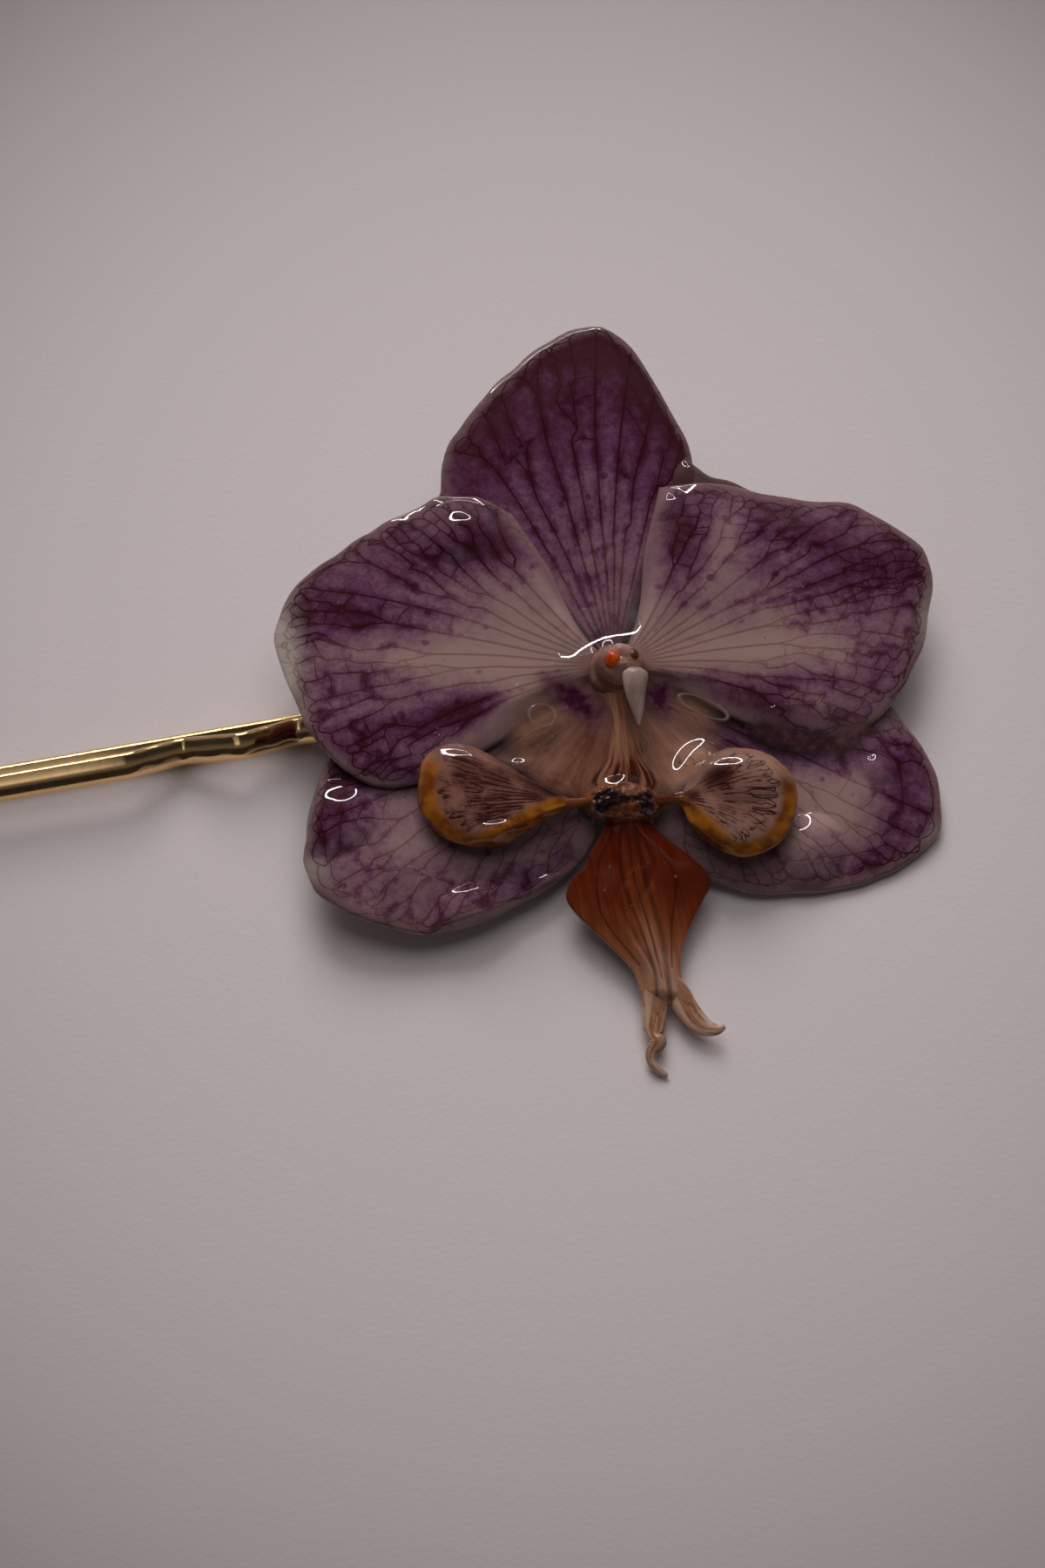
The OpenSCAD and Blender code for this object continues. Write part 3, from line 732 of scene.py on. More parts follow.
# %% [markdown]
# ## Where the colour lies
# The petals are cream at the base and darken through mauve and violet to maroon, in washes and blotches that
# follow no rule. They are charted: each row of a chart is a soft oval patch, with its middle, its two
# radii, its turn and how much it adds. A tone of 0 is cream and 1 is the darkest maroon. The same kind of
# chart says where the coat is clear resin with no petal under it, and where the petal has browned.

# %% Soft patches
FAN_WIDTH = 0.6


def soft_patches(x, y, patches, start=0.0):
    total = np.full(len(x), float(start))
    for *place, amount in patches:
        a, b = oval_shares(x, y, *place)
        total += amount * np.exp(-(a ** 2 + b ** 2))
    return total


def positions(bm):
    bm.verts.ensure_lookup_table()
    return np.array([v.co for v in bm.verts]).T


def write_attributes(bm, **values):
    for name, value in values.items():
        is_vector = value.ndim == 2
        layers = bm.verts.layers.float_vector if is_vector else bm.verts.layers.float
        layer = layers.new(name)
        for vert, number in zip(bm.verts, value):
            vert[layer] = number


def chart_leaf(bm, leaf, veins, chart):
    """Writes the veins, the fan's own coordinates and the charted tones onto a leaf's vertices"""
    x, y, _ = positions(bm)
    distance, side, width = measure_veins(x, y, *veins)
    dx, dy = x - leaf.base[0], y - leaf.base[1]
    r = np.hypot(dx, dy)
    middle = math.radians(leaf.middle)
    ahead_mm = dx * math.cos(middle) + dy * math.sin(middle)
    aside_mm = dy * math.cos(middle) - dx * math.sin(middle)
    swing = np.arctan2(aside_mm, ahead_mm)
    direction = np.clip(leaf.middle + np.degrees(swing), leaf.start, leaf.end)
    reach = leaf.reach(direction)
    past_start, to_end = np.radians(direction - leaf.start) * r, np.radians(leaf.end - direction) * r
    to_tip = np.maximum(reach - r, 0)
    tone = soft_patches(x, y, chart["tone"], chart["tone_start"])
    tone += chart["tone_out"] * ease((r - chart["out_from"]) / chart["out_over"])
    write_attributes(
        bm, vein_mm=distance, vein_side=side, vein_w=width, tone=tone,
        rim_mm=np.minimum(to_tip, np.minimum(past_start, to_end)),
        start_mm=np.minimum(to_tip, past_start), end_mm=np.minimum(to_tip, to_end),
        clear=soft_patches(x, y, chart.get("clear", ())), brown=soft_patches(x, y, chart.get("brown", ())),
        fan=np.stack([swing * reach * FAN_WIDTH, r, 0 * r], 1))


ONE_RADIUS_OUT = soft_patches(np.array([1.0]), np.array([0.0]), ((0, 0, 1, 1, 0, 1.0),))
print("one radius from its middle, a patch still adds this share:", round(float(ONE_RADIUS_OUT[0]), 3))

# %% [markdown]
# ## The finish of a coated petal
# Under the coat lies a dull, slightly puckered petal; over it a smooth, hard gloss. The Principled shader has
# just these two layers: the base takes the pattern and its bump, and the coat stays smooth. The pattern goes
# from cream to maroon by the charted tone, roughened by noise, with specks in the pale parts, stains along
# the veins, the veins themselves, and a net of fine cells between them. A narrow band along the rim takes a
# paler, bare colour, and where the chart says clear, the surface lets some of what lies behind it through.

# %% Finish of a coated leaf
def vein_line(tree, soft_from=1.35, soft_to=0.6):
    """1 on the veins and 0 beside them"""
    beside = math_node(tree, "ABSOLUTE", attribute(tree, "vein_side"))
    ratio = math_node(tree, "DIVIDE", beside, attribute(tree, "vein_w"))
    near = span(tree, attribute(tree, "vein_mm"), 0.34, 0.22)
    return times(tree, span(tree, ratio, soft_from, soft_to), near)


def fine_net(tree, fan, scale):
    """1 on the borders of small cells that are stretched along the leaf, and 0 inside them"""
    long_cells = add_node(tree, "ShaderNodeMapping", {"Vector": fan, "Scale": (1.0, 0.55, 1.0)}).outputs[0]
    sway = add_node(tree, "ShaderNodeTexNoise", {"Vector": fan, "Scale": 0.7, "Detail": 2.0})
    bent = mix_colour(tree, 0.35, long_cells, sway.outputs["Color"], "LINEAR_LIGHT")
    cells = add_node(tree, "ShaderNodeTexVoronoi", feature="DISTANCE_TO_EDGE", sockets={
        "Vector": bent, "Scale": scale})
    return span(tree, cells.outputs[0], 0.075, 0.0)


def round_specks(tree, fan, scale, share):
    """1 in the middle of a share of the cells of a net, and 0 elsewhere"""
    cells = add_node(tree, "ShaderNodeTexVoronoi", feature="F1", sockets={"Vector": fan, "Scale": scale})
    lot = add_node(tree, "ShaderNodeSeparateColor", {0: cells.outputs["Color"]}).outputs[0]
    ragged = noise_texture(tree, 1500.0, 2.0)
    near = span(tree, plus(tree, cells.outputs["Distance"], times(tree, ragged, 0.3)), 0.44, 0.28)
    return times(tree, near, span(tree, lot, share, share - 0.1))


TEPAL_TONES = tones((0.0, 130, 107, 102), (0.16, 120, 96, 96), (0.36, 101, 72, 85),
               (0.58, 80, 46, 70), (0.78, 62, 28, 48), (1.0, 48, 16, 26))
TEPAL_VEIN, PALE_VEIN = seen_as(40, 8, 16), seen_as(96, 62, 50)
BROWNED, CLEAR_RESIN, BARE_RIM = seen_as(64, 36, 36), seen_as(150, 136, 128), seen_as(98, 74, 76)


def tepal_material(name, net_scale):
    material, tree = new_material(name)
    fan = attribute(tree, "fan", "Vector")
    mottle, cloud = noise_texture(tree, 420.0, 5.0, 0.62), noise_texture(tree, 150.0, 3.0, 0.55)
    flecks, grain = noise_texture(tree, 1500.0, 4.0, 0.65), noise_texture(tree, 4200.0, 3.0, 0.6)
    distance = attribute(tree, "vein_mm")
    vein = vein_line(tree)
    halo = span(tree, distance, 0.75, 0.0)
    beads = times(tree, span(tree, distance, 0.5, 0.1),
                  span(tree, noise_texture(tree, 600.0, 2.0), 0.52, 0.64))

    tone = plus(tree, attribute(tree, "tone"), sway(tree, mottle, 0.5),
                sway(tree, cloud, 0.4), sway(tree, grain, 0.25))
    in_colour = span(tree, tone, 0.0, 0.6)
    tone = plus(tree, tone, times(tree, minus(tree, halo, 0.4), in_colour, 0.14),
                sway(tree, flecks, plus(tree, times(tree, in_colour, 0.5), 0.15)),
                times(tree, beads, span(tree, tone, -0.05, 0.3), 0.22),
                times(tree, round_specks(tree, fan, 0.8, 0.3), 0.26))
    colour = colour_ramp(tree, tone, TEPAL_TONES)
    browned = clamped(tree, attribute(tree, "brown"))
    colour = mix_colour(tree, browned, colour, BROWNED)
    ragged_rim = plus(tree, attribute(tree, "rim_mm"), sway(tree, mottle, 1.2))
    colour = mix_colour(tree, span(tree, ragged_rim, 1.3, 0.2, 0.0, 0.85), colour, BARE_RIM)
    bare = clamped(tree, attribute(tree, "clear"))
    colour = mix_colour(tree, bare, colour, CLEAR_RESIN)

    deeper = plus(tree, in_colour, times(tree, browned, 0.6))
    net = times(tree, fine_net(tree, fan, net_scale), span(tree, tone, 0.1, 0.6), 0.3)
    colour = mix_colour(tree, net, colour, TEPAL_VEIN)
    vein_colour = mix_colour(tree, deeper, PALE_VEIN, TEPAL_VEIN)
    strength = times(tree, vein, span(tree, deeper, 0, 1, 0.5, 0.88), span(tree, bare, 0, 1, 1, 0.4))
    colour = mix_colour(tree, strength, colour, vein_colour)

    pucker = minus(tree, times(tree, cloud, 0.5), times(tree, vein, 0.5))
    surface = resin_surface(tree, colour, Normal=bump_normal(tree, pucker, 0.3, 0.1))
    finish_with(tree, surface, times(tree, bare, 0.35))
    return material


sepal_finish = tepal_material("coated_sepal", 1.3)
petal_finish = tepal_material("coated_petal", 1.4)
print("leaf finishes made")

# %% [markdown]
# ## Sepals and petals
# The upper sepal is the most violet, with seven long, nearly straight veins. The two lower sepals are mauve
# with maroon blotches. The two wide petals are cream at the middle, violet above it, and carry a dark blotch
# low down. The five are made by one loop from their charts.

# %% Charts of the five leaves
TEPALS = {
    "dorsal_sepal": {
        "mains": (77, 83, 88.5, 93.5, 99, 105.5, 113, 121), "gather": 0.75, "seed": 3, "drops": (),
        "forks": ((0.62, 0.85, 0.8), (0.82, 0.92, 0.5)), "link_from": 0.45,
        "tone_start": 0.35, "tone_out": 0.45, "out_from": 4.0, "out_over": 20.0,
        "tone": ((-9.5, 16.5, 5.5, 2.0, 62, 0.14), (-1.5, 26.5, 5.5, 2.2, 0, 0.3),
                 (5.0, 19.0, 7.0, 1.5, 118, 0.3), (-2.5, 16.0, 3.5, 4.5, 0, -0.06)),
        "brown": ((-10.8, 17.5, 5.5, 0.9, 60, 0.2), (-1.5, 27.8, 4.0, 0.8, 0, 0.2),
                  (5.8, 20.5, 6.5, 0.8, 116, 0.2))},
    "left_sepal": {
        "mains": (200, 208, 216, 224, 232, 240, 248, 257), "gather": 0.7, "seed": 5,
        "forks": ((0.45, 0.7, 0.9), (0.7, 0.88, 0.5)), "link_from": 0.4,
        "drops": ((-9.3, -18.4, 3.8, 2.3, 16, 0.85), (-20.0, -11.7, 3.4, 3.0, 18, 0.78),
                  (-4.2, -16.6, 2.6, 1.5, 18, 0.5)),
        "tone_start": 0.1, "tone_out": 0.2, "out_from": 5.0, "out_over": 20.0,
        "tone": ((-20.3, -8.5, 5.0, 2.6, 75, 0.5), (-18.5, -10.5, 2.5, 2.0, 0, 0.15),
                 (-10.5, -18.4, 5.5, 1.4, 12, 0.02), (-5.5, -15.7, 3.0, 1.2, 25, 0.3),
                 (-15.5, -16.8, 3.5, 1.3, -20, 0.1), (-14.0, -8.0, 3.5, 1.4, 10, 0.2),
                 (-14.0, -12.2, 3.5, 2.0, 25, -0.1)),
        "clear": ((-21.6, -15.8, 1.5, 1.0, 30, 0.7),),
        "brown": ((-4.5, -6.0, 3.8, 3.4, 50, 0.8), (-2.5, -11.0, 2.4, 2.2, 0, 0.4))},
    "right_sepal": {
        "mains": (-66, -56, -47, -38, -30, -22, -14, -6), "gather": 0.7, "seed": 8,
        "forks": ((0.45, 0.7, 0.9), (0.7, 0.88, 0.5)), "link_from": 0.4,
        "drops": ((13.9, -13.0, 2.6, 3.0, -22, 0.78), (19.0, -6.6, 1.3, 1.3, 0, 0.34)),
        "tone_start": 0.1, "tone_out": 0.18, "out_from": 5.0, "out_over": 20.0,
        "tone": ((21.0, -8.0, 5.0, 2.2, 80, 0.45), (18.0, -13.8, 3.5, 1.2, 10, 0.28),
                 (11.0, -15.3, 5.5, 1.4, -5, 0.08), (9.5, -5.0, 4.5, 1.4, -12, 0.55),
                 (16.5, -5.6, 4.0, 1.4, -5, 0.35), (16.0, -8.8, 3.4, 2.4, 40, -0.26)),
        "clear": ((23.2, -11.4, 1.2, 0.8, 60, 0.6),),
        "brown": ((4.2, -5.5, 3.8, 3.0, -50, 0.8), (7.5, -12.5, 2.4, 2.4, 0, 0.25),
                  (12.0, -15.4, 6.5, 1.2, -4, 0.15))},
    "left_petal": {
        "mains": (128, 137, 146, 154.5, 163, 171, 179, 187, 195, 203, 210), "gather": 0.6,
        "forks": ((0.4, 0.68, 0.9), (0.68, 0.88, 0.55)), "link_from": 0.3, "seed": 11,
        "drops": ((-11.5, 10.2, 3.0, 2.6, 18, 0.64),),
        "tone_start": 0.02, "tone_out": 0.42, "out_from": 3.0, "out_over": 20.0,
        "tone": ((-19.5, 3.4, 4.5, 1.7, -4, 0.32), (-14.5, 7.6, 6.0, 2.2, 24, 0.2),
                 (-8.6, 9.6, 3.6, 3.4, 0, 0.5), (-11.2, -3.8, 3.0, 1.3, 22, 0.72),
                 (-15.5, -5.2, 3.2, 1.4, 0, 0.3), (-18.5, -1.8, 4.0, 1.0, 0, 0.08),
                 (-15.5, -8.2, 4.0, 1.6, -20, 0.25), (-3.2, -2.4, 1.9, 1.0, -42, 1.0),
                 (-13.5, 0.2, 7.0, 1.1, -3, -0.24), (-12.5, 4.0, 3.0, 1.2, 0, 0.12),
                 (-6.0, 3.0, 3.6, 1.6, 30, -0.06), (-6.2, -2.3, 2.8, 1.0, 20, -0.2)),
        "clear": ((-24.0, 1.6, 1.3, 2.9, 8, 1.2), (-23.6, -1.6, 0.9, 2.4, 0, 0.9),
                  (-22.3, -4.6, 0.5, 2.2, 0, 0.3)),
        "brown": ((-12.0, 11.4, 8.0, 1.2, 30, 0.45), (-7.6, 10.4, 2.6, 2.6, -40, 0.45),
                  (-4.0, -5.4, 2.2, 1.6, 0, 0.3))},
    "right_petal": {
        "mains": (-17, -8.5, 0, 8, 16, 24, 32.5, 41.5, 51, 61, 71), "gather": 0.6,
        "forks": ((0.35, 0.62, 0.95), (0.62, 0.86, 0.6)), "link_from": 0.25, "seed": 14,
        "drops": ((3.6, 13.1, 1.7, 1.4, 10, 0.34),),
        "tone_start": 0.02, "tone_out": 0.42, "out_from": 3.0, "out_over": 20.0,
        "tone": ((16.5, 8.0, 6.0, 1.8, 14, 0.28), (13.5, 11.2, 6.0, 1.6, -18, 0.3),
                 (4.6, 10.0, 1.9, 4.2, -8, 0.5), (7.6, 9.6, 1.2, 3.4, -20, -0.22),
                 (9.8, -2.2, 3.8, 1.9, -18, 0.6), (13.4, -3.4, 3.4, 1.6, -12, -0.05),
                 (9.5, 10.0, 3.6, 2.6, 20, 0.22), (13.0, 2.2, 7.5, 1.3, 6, -0.26),
                 (19.8, 1.0, 2.4, 3.4, 0, 0.12), (14.0, -0.6, 2.6, 0.8, 0, 0.2),
                 (2.9, -1.9, 1.6, 1.0, 40, 1.0)),
        "clear": ((22.9, 5.4, 0.8, 2.4, -12, 0.8), (22.9, 2.2, 0.5, 2.4, -10, 0.45)),
        "brown": ((13.0, 12.6, 8.0, 1.0, -20, 0.4), (4.2, 11.6, 1.6, 3.2, 0, 0.45),
                  (9.6, -2.4, 4.6, 2.0, -16, 0.5))},
}
QUICK_COARSER = 1
STEPS_ACROSS, STEPS_ALONG = 260 // QUICK_COARSER, 180 // QUICK_COARSER
TEPAL_BASE, TEPAL_FIRST_R = (0.0, 0.0), 1.9
TEPAL_WAVE, TEPAL_NICK, TEPAL_FILLET = 0.08, 0.18, 0.6
TEPAL_VEIN_HALF_W, TEPAL_VEIN_STOPS = 0.1, (0.8, 1.6)
# Waist, level and crown of each kind, and its finish
TEPAL_KINDS = {"sepal": (0.85, 0.0, 0.15, sepal_finish), "petal": (0.8, PETAL_LEVEL, 0.45, petal_finish)}


def make_tepal(name, chart):
    kind = name.split("_")[1]
    waist, level, crown, finish = TEPAL_KINDS[kind]
    leaf = Leaf(RIMS[name], TEPAL_BASE, TEPAL_FIRST_R, waist, level, PETAL_T, crown, TEPAL_WAVE, TEPAL_NICK,
                TEPAL_FILLET, chart["drops"])
    bm = closed_slab(leaf.front, leaf.back, STEPS_ACROSS, STEPS_ALONG)
    chart_leaf(bm, leaf, grow_veins(leaf, chart, TEPAL_VEIN_HALF_W, TEPAL_VEIN_STOPS), chart)
    hand_over(bm, name + "_leaf", finish, flower_place, (name,), under_film=True)


for tepal_name, tepal_chart in TEPALS.items():
    make_tepal(tepal_name, tepal_chart)

# %% [markdown]
# ## The lip's side lobes
# Each side lobe is a thin ear, brown and half clear, with fine dark fibres that spread from its stalk, a dark
# stain by the stalk, and a thick yellow margin on its lower side. It is a leaf too, with closer and finer
# veins. The margin is drawn from the distance to that side's rim, and its band says in which directions.

# %% Side lobes
LOBE_TONES = tones((0.0, 124, 94, 82), (0.35, 112, 78, 67), (0.65, 74, 42, 35),
              (1.0, 34, 12, 13))
LOBE_VEIN, YELLOW_MARGIN, AMBER_MARGIN = seen_as(46, 18, 16), seen_as(126, 76, 20), seen_as(88, 42, 12)
LOBE_FIRST_R, LOBE_CROWN, LOBE_WAVE, LOBE_NICK = 0.35, 0.5, 0.05, 0.08
LOBE_VEIN_HALF_W, LOBE_VEIN_STOPS, LOBE_STEPS = 0.07, (1.2, 2.6), (140 // QUICK_COARSER, 100 // QUICK_COARSER)
LOBES = {
    "lip_left_lobe": {
        "base": (-2.6, -10.6), "waist": 0.8, "seed": 21, "gather": 0.6,
        "forks": ((0.25, 0.55, 1.0), (0.5, 0.8, 0.6)), "link_from": 0.9, "margin": "end_mm",
        "band": (158, 14),
        "mains": (155, 159, 163, 167, 171, 175, 179, 183, 187, 191, 195, 199, 203),
        "drops": ((-8.5, -14.0, 2.4, 1.6, 14, 0.4),),
        "tone_start": 0.52, "tone_out": -0.12, "out_from": 5.0, "out_over": 6.0,
        "tone": ((-5.4, -9.2, 2.6, 0.6, -33, 0.9), (-3.0, -10.5, 1.4, 0.5, -20, 0.5),
                 (-11.0, -9.4, 3.0, 1.2, 10, 0.12), (-7.0, -10.8, 2.0, 0.8, 0, -0.15))},
    "lip_right_lobe": {
        "base": (3.4, -10.1), "waist": 0.25, "seed": 25, "gather": 0.6,
        "forks": ((0.25, 0.55, 1.0), (0.5, 0.8, 0.6)), "link_from": 0.9, "margin": "start_mm",
        "band": (26, -22),
        "mains": (-40, -33, -26, -19, -12, -5, 2, 9, 16, 23, 30, 37, 43),
        "drops": ((9.4, -8.4, 3.3, 2.1, 12, 0.52),),
        "tone_start": 0.16, "tone_out": -0.12, "out_from": 4.0, "out_over": 5.0,
        "tone": ((7.2, -8.4, 1.2, 0.9, 20, 0.85), (4.6, -10.0, 1.6, 0.5, 5, 0.6),
                 (8.2, -10.6, 1.6, 1.0, 0, 0.2), (11.0, -8.0, 1.6, 2.0, 0, -0.15))},
}


def lobe_material(name, margin):
    material, tree = new_material(name)
    mottle, grain = noise_texture(tree, 700.0, 3.0, 0.55), noise_texture(tree, 2600.0, 2.0)
    fibre = vein_line(tree)
    tone = plus(tree, attribute(tree, "tone"), sway(tree, mottle, 0.5),
                sway(tree, grain, 0.2))
    colour = colour_ramp(tree, tone, LOBE_TONES)
    broken = span(tree, mottle, 0.34, 0.56)
    inside = span(tree, attribute(tree, "rim_mm"), 0.7, 1.6)
    colour = mix_colour(tree, times(tree, fibre, broken, inside), colour, LOBE_VEIN)
    depth = plus(tree, attribute(tree, margin), sway(tree, mottle, 0.5))
    amber = mix_colour(tree, span(tree, mottle, 0.35, 0.65), YELLOW_MARGIN, AMBER_MARGIN)
    band = times(tree, span(tree, depth, 1.5, 0.9), attribute(tree, "band"))
    colour = mix_colour(tree, band, colour, amber)
    surface = resin_surface(tree, colour, Normal=bump_normal(tree, fibre, -0.3, 0.05))
    finish_with(tree, surface)
    return material


def make_lobe(name, chart):
    leaf = Leaf(RIMS[name], chart["base"], LOBE_FIRST_R, chart["waist"], LOBE_LEVEL, LOBE_T, LOBE_CROWN,
                LOBE_WAVE, LOBE_NICK, drops=chart["drops"])
    bm = closed_slab(leaf.front, leaf.back, *LOBE_STEPS)
    chart_leaf(bm, leaf, grow_veins(leaf, chart, LOBE_VEIN_HALF_W, LOBE_VEIN_STOPS), chart)
    x, y, _ = positions(bm)
    direction = np.degrees(np.arctan2(y - leaf.base[1], x - leaf.base[0]))
    if leaf.middle > 90:
        direction = np.mod(direction, 360)
    band_from, band_over = chart["band"]
    write_attributes(bm, band=ease((direction - band_from) / band_over))
    hand_over(bm, name + "_leaf", lobe_material(name, chart["margin"]), flower_place, (name,),
              under_film=True)


for lobe_name, lobe_chart in LOBES.items():
    make_lobe(lobe_name, lobe_chart)

# %% [markdown]
# ## Rounded pieces
# The claw, the column, the cap, the tendrils and the wire are all rods that change their section on the way.
# Each is a table of stations: a middle, and two half sizes. Between the stations the table is read along a
# smooth curve. A flat grid is rolled up round that curve, its seam is welded, and its two ends are filled.

# %% Roll a grid into a rod
WELD_MM = 1e-4


def smooth_rows(rows, steps):
    """The rows of a table, with smoothly curved steps between them"""
    rows = np.array(rows, float)
    padded = np.concatenate([[2 * rows[0] - rows[1]], rows, [2 * rows[-1] - rows[-2]]])
    at = np.linspace(0, len(rows) - 1, steps)
    k = np.minimum(at.astype(int), len(rows) - 2)
    t = (at - k)[:, None]
    a, b, c, d = (padded[k + i] for i in range(4))
    return b + 0.5 * t * (c - a + t * (2 * a - 5 * b + 4 * c - d + t * (3 * (b - c) + d - a)))


def rod_mesh(stations, sides, upright=(0, 0, 1), side=None):
    """A closed rod through stations of x, y, z, half width and half height. Its width lies across upright, or
    along side"""
    path, half_w, half_h = stations[:, :3], stations[:, 3], stations[:, 4]
    heading = unit(np.gradient(path, axis=0))
    if side is None:
        across = unit(np.cross(heading, upright))
    else:
        across = np.tile(np.array(side, float), (len(path), 1))
    lift = unit(np.cross(across, heading))
    along_mm = np.concatenate([[0], np.cumsum(np.linalg.norm(np.diff(path, axis=0), axis=1))])
    fan = []

    def roll(share_round, share_along):
        k = np.rint(share_along * (len(path) - 1)).astype(int)
        angle = 2 * np.pi * share_round - np.pi / 2
        out_w, out_h = (half_w[k] * np.cos(angle))[:, None], (half_h[k] * np.sin(angle))[:, None]
        place = path[k] + out_w * across[k] + out_h * lift[k]
        fan.append(np.stack([(share_round - 0.5) * 4 * half_w.max(), along_mm[k], half_w[k]], 1))
        return place.T

    bm = bmesh.new()
    bend_grid(bm, roll, sides, len(path) - 1)
    write_attributes(bm, fan=fan[0], tone=fan[0][:, 1] / along_mm[-1])
    bmesh.ops.remove_doubles(bm, verts=bm.verts, dist=WELD_MM)
    bmesh.ops.holes_fill(bm, edges=[e for e in bm.edges if e.is_boundary], sides=0)
    bmesh.ops.recalc_face_normals(bm, faces=bm.faces)
    return bm


def striped_material(name, stops, stripe_scale, noise_share, dark_line, line_share, end_shift=0.0):
    """Streaks along a rod, between the colours of a ramp, with a few darker lines; end_shift moves the
    colour along the ramp towards the rod's far end"""
    material, tree = new_material(name)
    streak = streaks(tree, stripe_scale, 0.22, 0.55)
    lump = noise_texture(tree, 500.0, 3.0)
    value = plus(tree, times(tree, streak, 1 - noise_share), times(tree, lump, noise_share))
    onward = times(tree, span(tree, attribute(tree, "tone"), 0.45, 0.95), end_shift)
    colour = colour_ramp(tree, plus(tree, span(tree, value, 0.3, 0.7), onward), stops)
    lines = times(tree, thin_lines(tree, streak, 0.47, 0.035), line_share)
    colour = mix_colour(tree, lines, colour, dark_line)
    surface = resin_surface(tree, colour, Normal=bump_normal(tree, streak, 0.4, 0.12))
    finish_with(tree, surface)
    return material


print("0, 1 and 0 in five smooth steps:", smooth_rows(((0,), (1,), (0,)), 5)[:, 0].round(3).tolist())

# %% [markdown]
# ## Claw, column and cap
# The column is the knob in the flower's middle. Its front wears the pale pointed anther cap, and on its top
# sit the pollen masses, a bright orange one and a small brown one. The claw runs from the column's foot down
# to the lip; it widens and darkens towards the callus.

# %% Claw, column and cap
ROD_STEPS, ROD_SIDES, ROD_LUMPS = 90, 48, ((1.1, 3.0), (1.7, 5.0))
CLAW_ROWS = ((-0.1, -2.1, 2.45, 0.85, 0.38), (0.0, -2.9, 2.45, 0.75, 0.4), (0.25, -4.2, 2.4, 0.75, 0.4),
             (0.4, -6.0, 2.35, 1.1, 0.42), (0.55, -7.2, 2.25, 1.45, 0.42), (0.6, -8.0, 2.15, 2.1, 0.42),
             (0.6, -8.7, 2.05, 2.5, 0.4), (0.6, -9.3, 2.0, 2.3, 0.36))
COLUMN_ROWS = ((0.1, -0.3, 1.5, 2.2, 2.1), (0.1, -0.3, 2.5, 2.15, 2.05), (0.15, -0.3, 3.1, 1.85, 1.7),
               (0.15, -0.3, 3.7, 1.7, 1.55), (0.15, -0.35, 4.3, 1.35, 1.2), (0.15, -0.4, 4.62, 0.7, 0.6),
               (0.15, -0.4, 4.7, 0.12, 0.1))
CAP_ROWS = ((1.1, -1.0, 4.7, 0.5, 0.2), (1.1, -1.4, 4.68, 0.9, 0.42), (1.12, -2.1, 4.6, 0.88, 0.5),
            (1.2, -3.1, 4.45, 0.68, 0.42), (1.35, -4.2, 4.3, 0.4, 0.28), (1.45, -5.15, 4.15, 0.1, 0.1))
CLAW_TONES = tones((0.0, 58, 20, 10), (0.2, 108, 63, 43), (0.42, 128, 86, 65),
              (1.0, 138, 98, 76))
COLUMN_TONES = tones((0.0, 84, 50, 42), (0.4, 104, 72, 62), (0.7, 118, 84, 72),
                (1.0, 128, 98, 86))
CAP_TONES = tones((0.0, 104, 78, 72), (0.5, 126, 104, 98), (1.0, 144, 126, 122))


def make_rod(name, rows, material, lumps, under_film=False, side=None):
    bm = rod_mesh(smooth_rows(rows, ROD_STEPS), ROD_SIDES, side=side)
    x, y, z = positions(bm)
    (size_a, seed_a), (size_b, seed_b) = ROD_LUMPS
    shift = lumps * waves(x, y, size_a, seed_a) * waves(y, z, size_b, seed_b)
    for vert, amount in zip(bm.verts, shift):
        vert.co += vert.normal * amount
    hand_over(bm, name + "_rod", material, flower_place, (name,), under_film)


claw_finish = striped_material("streaked_claw", CLAW_TONES, 2.4, 0.25, seen_as(66, 26, 16), 0.35, -0.42)
column_finish = striped_material("column_flesh", COLUMN_TONES, 0.9, 0.5, seen_as(88, 54, 46), 0.3, 0.25)
cap_finish = striped_material("pale_cap", CAP_TONES, 0.8, 0.4, seen_as(104, 78, 72), 0.2, 0.2)
make_rod("lip_claw", CLAW_ROWS, claw_finish, lumps=0.1, under_film=True)
make_rod("column", COLUMN_ROWS, column_finish, lumps=0.35, side=(1, 0, 0))
make_rod("anther_cap", CAP_ROWS, cap_finish, lumps=0.1)

# %% [markdown]
# Two short stalks join the side lobes to the callus. They are knotty rods of amber flesh with dark lines.

# %% Stalks of the side lobes
STALK_TONES = tones((0.0, 58, 22, 14), (0.5, 92, 50, 24), (1.0, 116, 72, 40))
STALK_STEPS, STALK_SIDES = 50, 24
STALKS = {
    "left_stalk": (
        (-1.8, -10.3, 2.2, 0.42, 0.35), (-2.6, -10.55, 2.55, 0.34, 0.3), (-3.4, -10.75, 2.8, 0.42, 0.3),
        (-4.4, -10.9, 2.95, 0.3, 0.2)),
    "right_stalk": (
        (3.0, -10.0, 2.2, 0.5, 0.4), (3.6, -10.05, 2.55, 0.36, 0.32), (4.3, -9.95, 2.85, 0.42, 0.3),
        (5.2, -9.85, 2.95, 0.3, 0.2)),
}
stalk_finish = striped_material("amber_stalk", STALK_TONES, 2.0, 0.4, seen_as(50, 18, 12), 0.6)
for stalk_name, rows in STALKS.items():
    bm = rod_mesh(smooth_rows(rows, STALK_STEPS), STALK_SIDES)
    hand_over(bm, stalk_name, stalk_finish, flower_place)

# %% [markdown]
# ## Films of resin
# The coat did not stop at each petal's edge. It bridged the steps between them, and under the column it set
# as a brown, half-clear skin on both sides of the claw, with a dark violet stain at either side of the
# column's foot. Such a film is a sheet that is dropped onto the flower and pulled tight. It starts on
# whatever lies highest under each of its points, and is then evened out many times, but never pushed below
# that. Its veil says where it can be seen: towards its border, and over the claw, it turns clear.

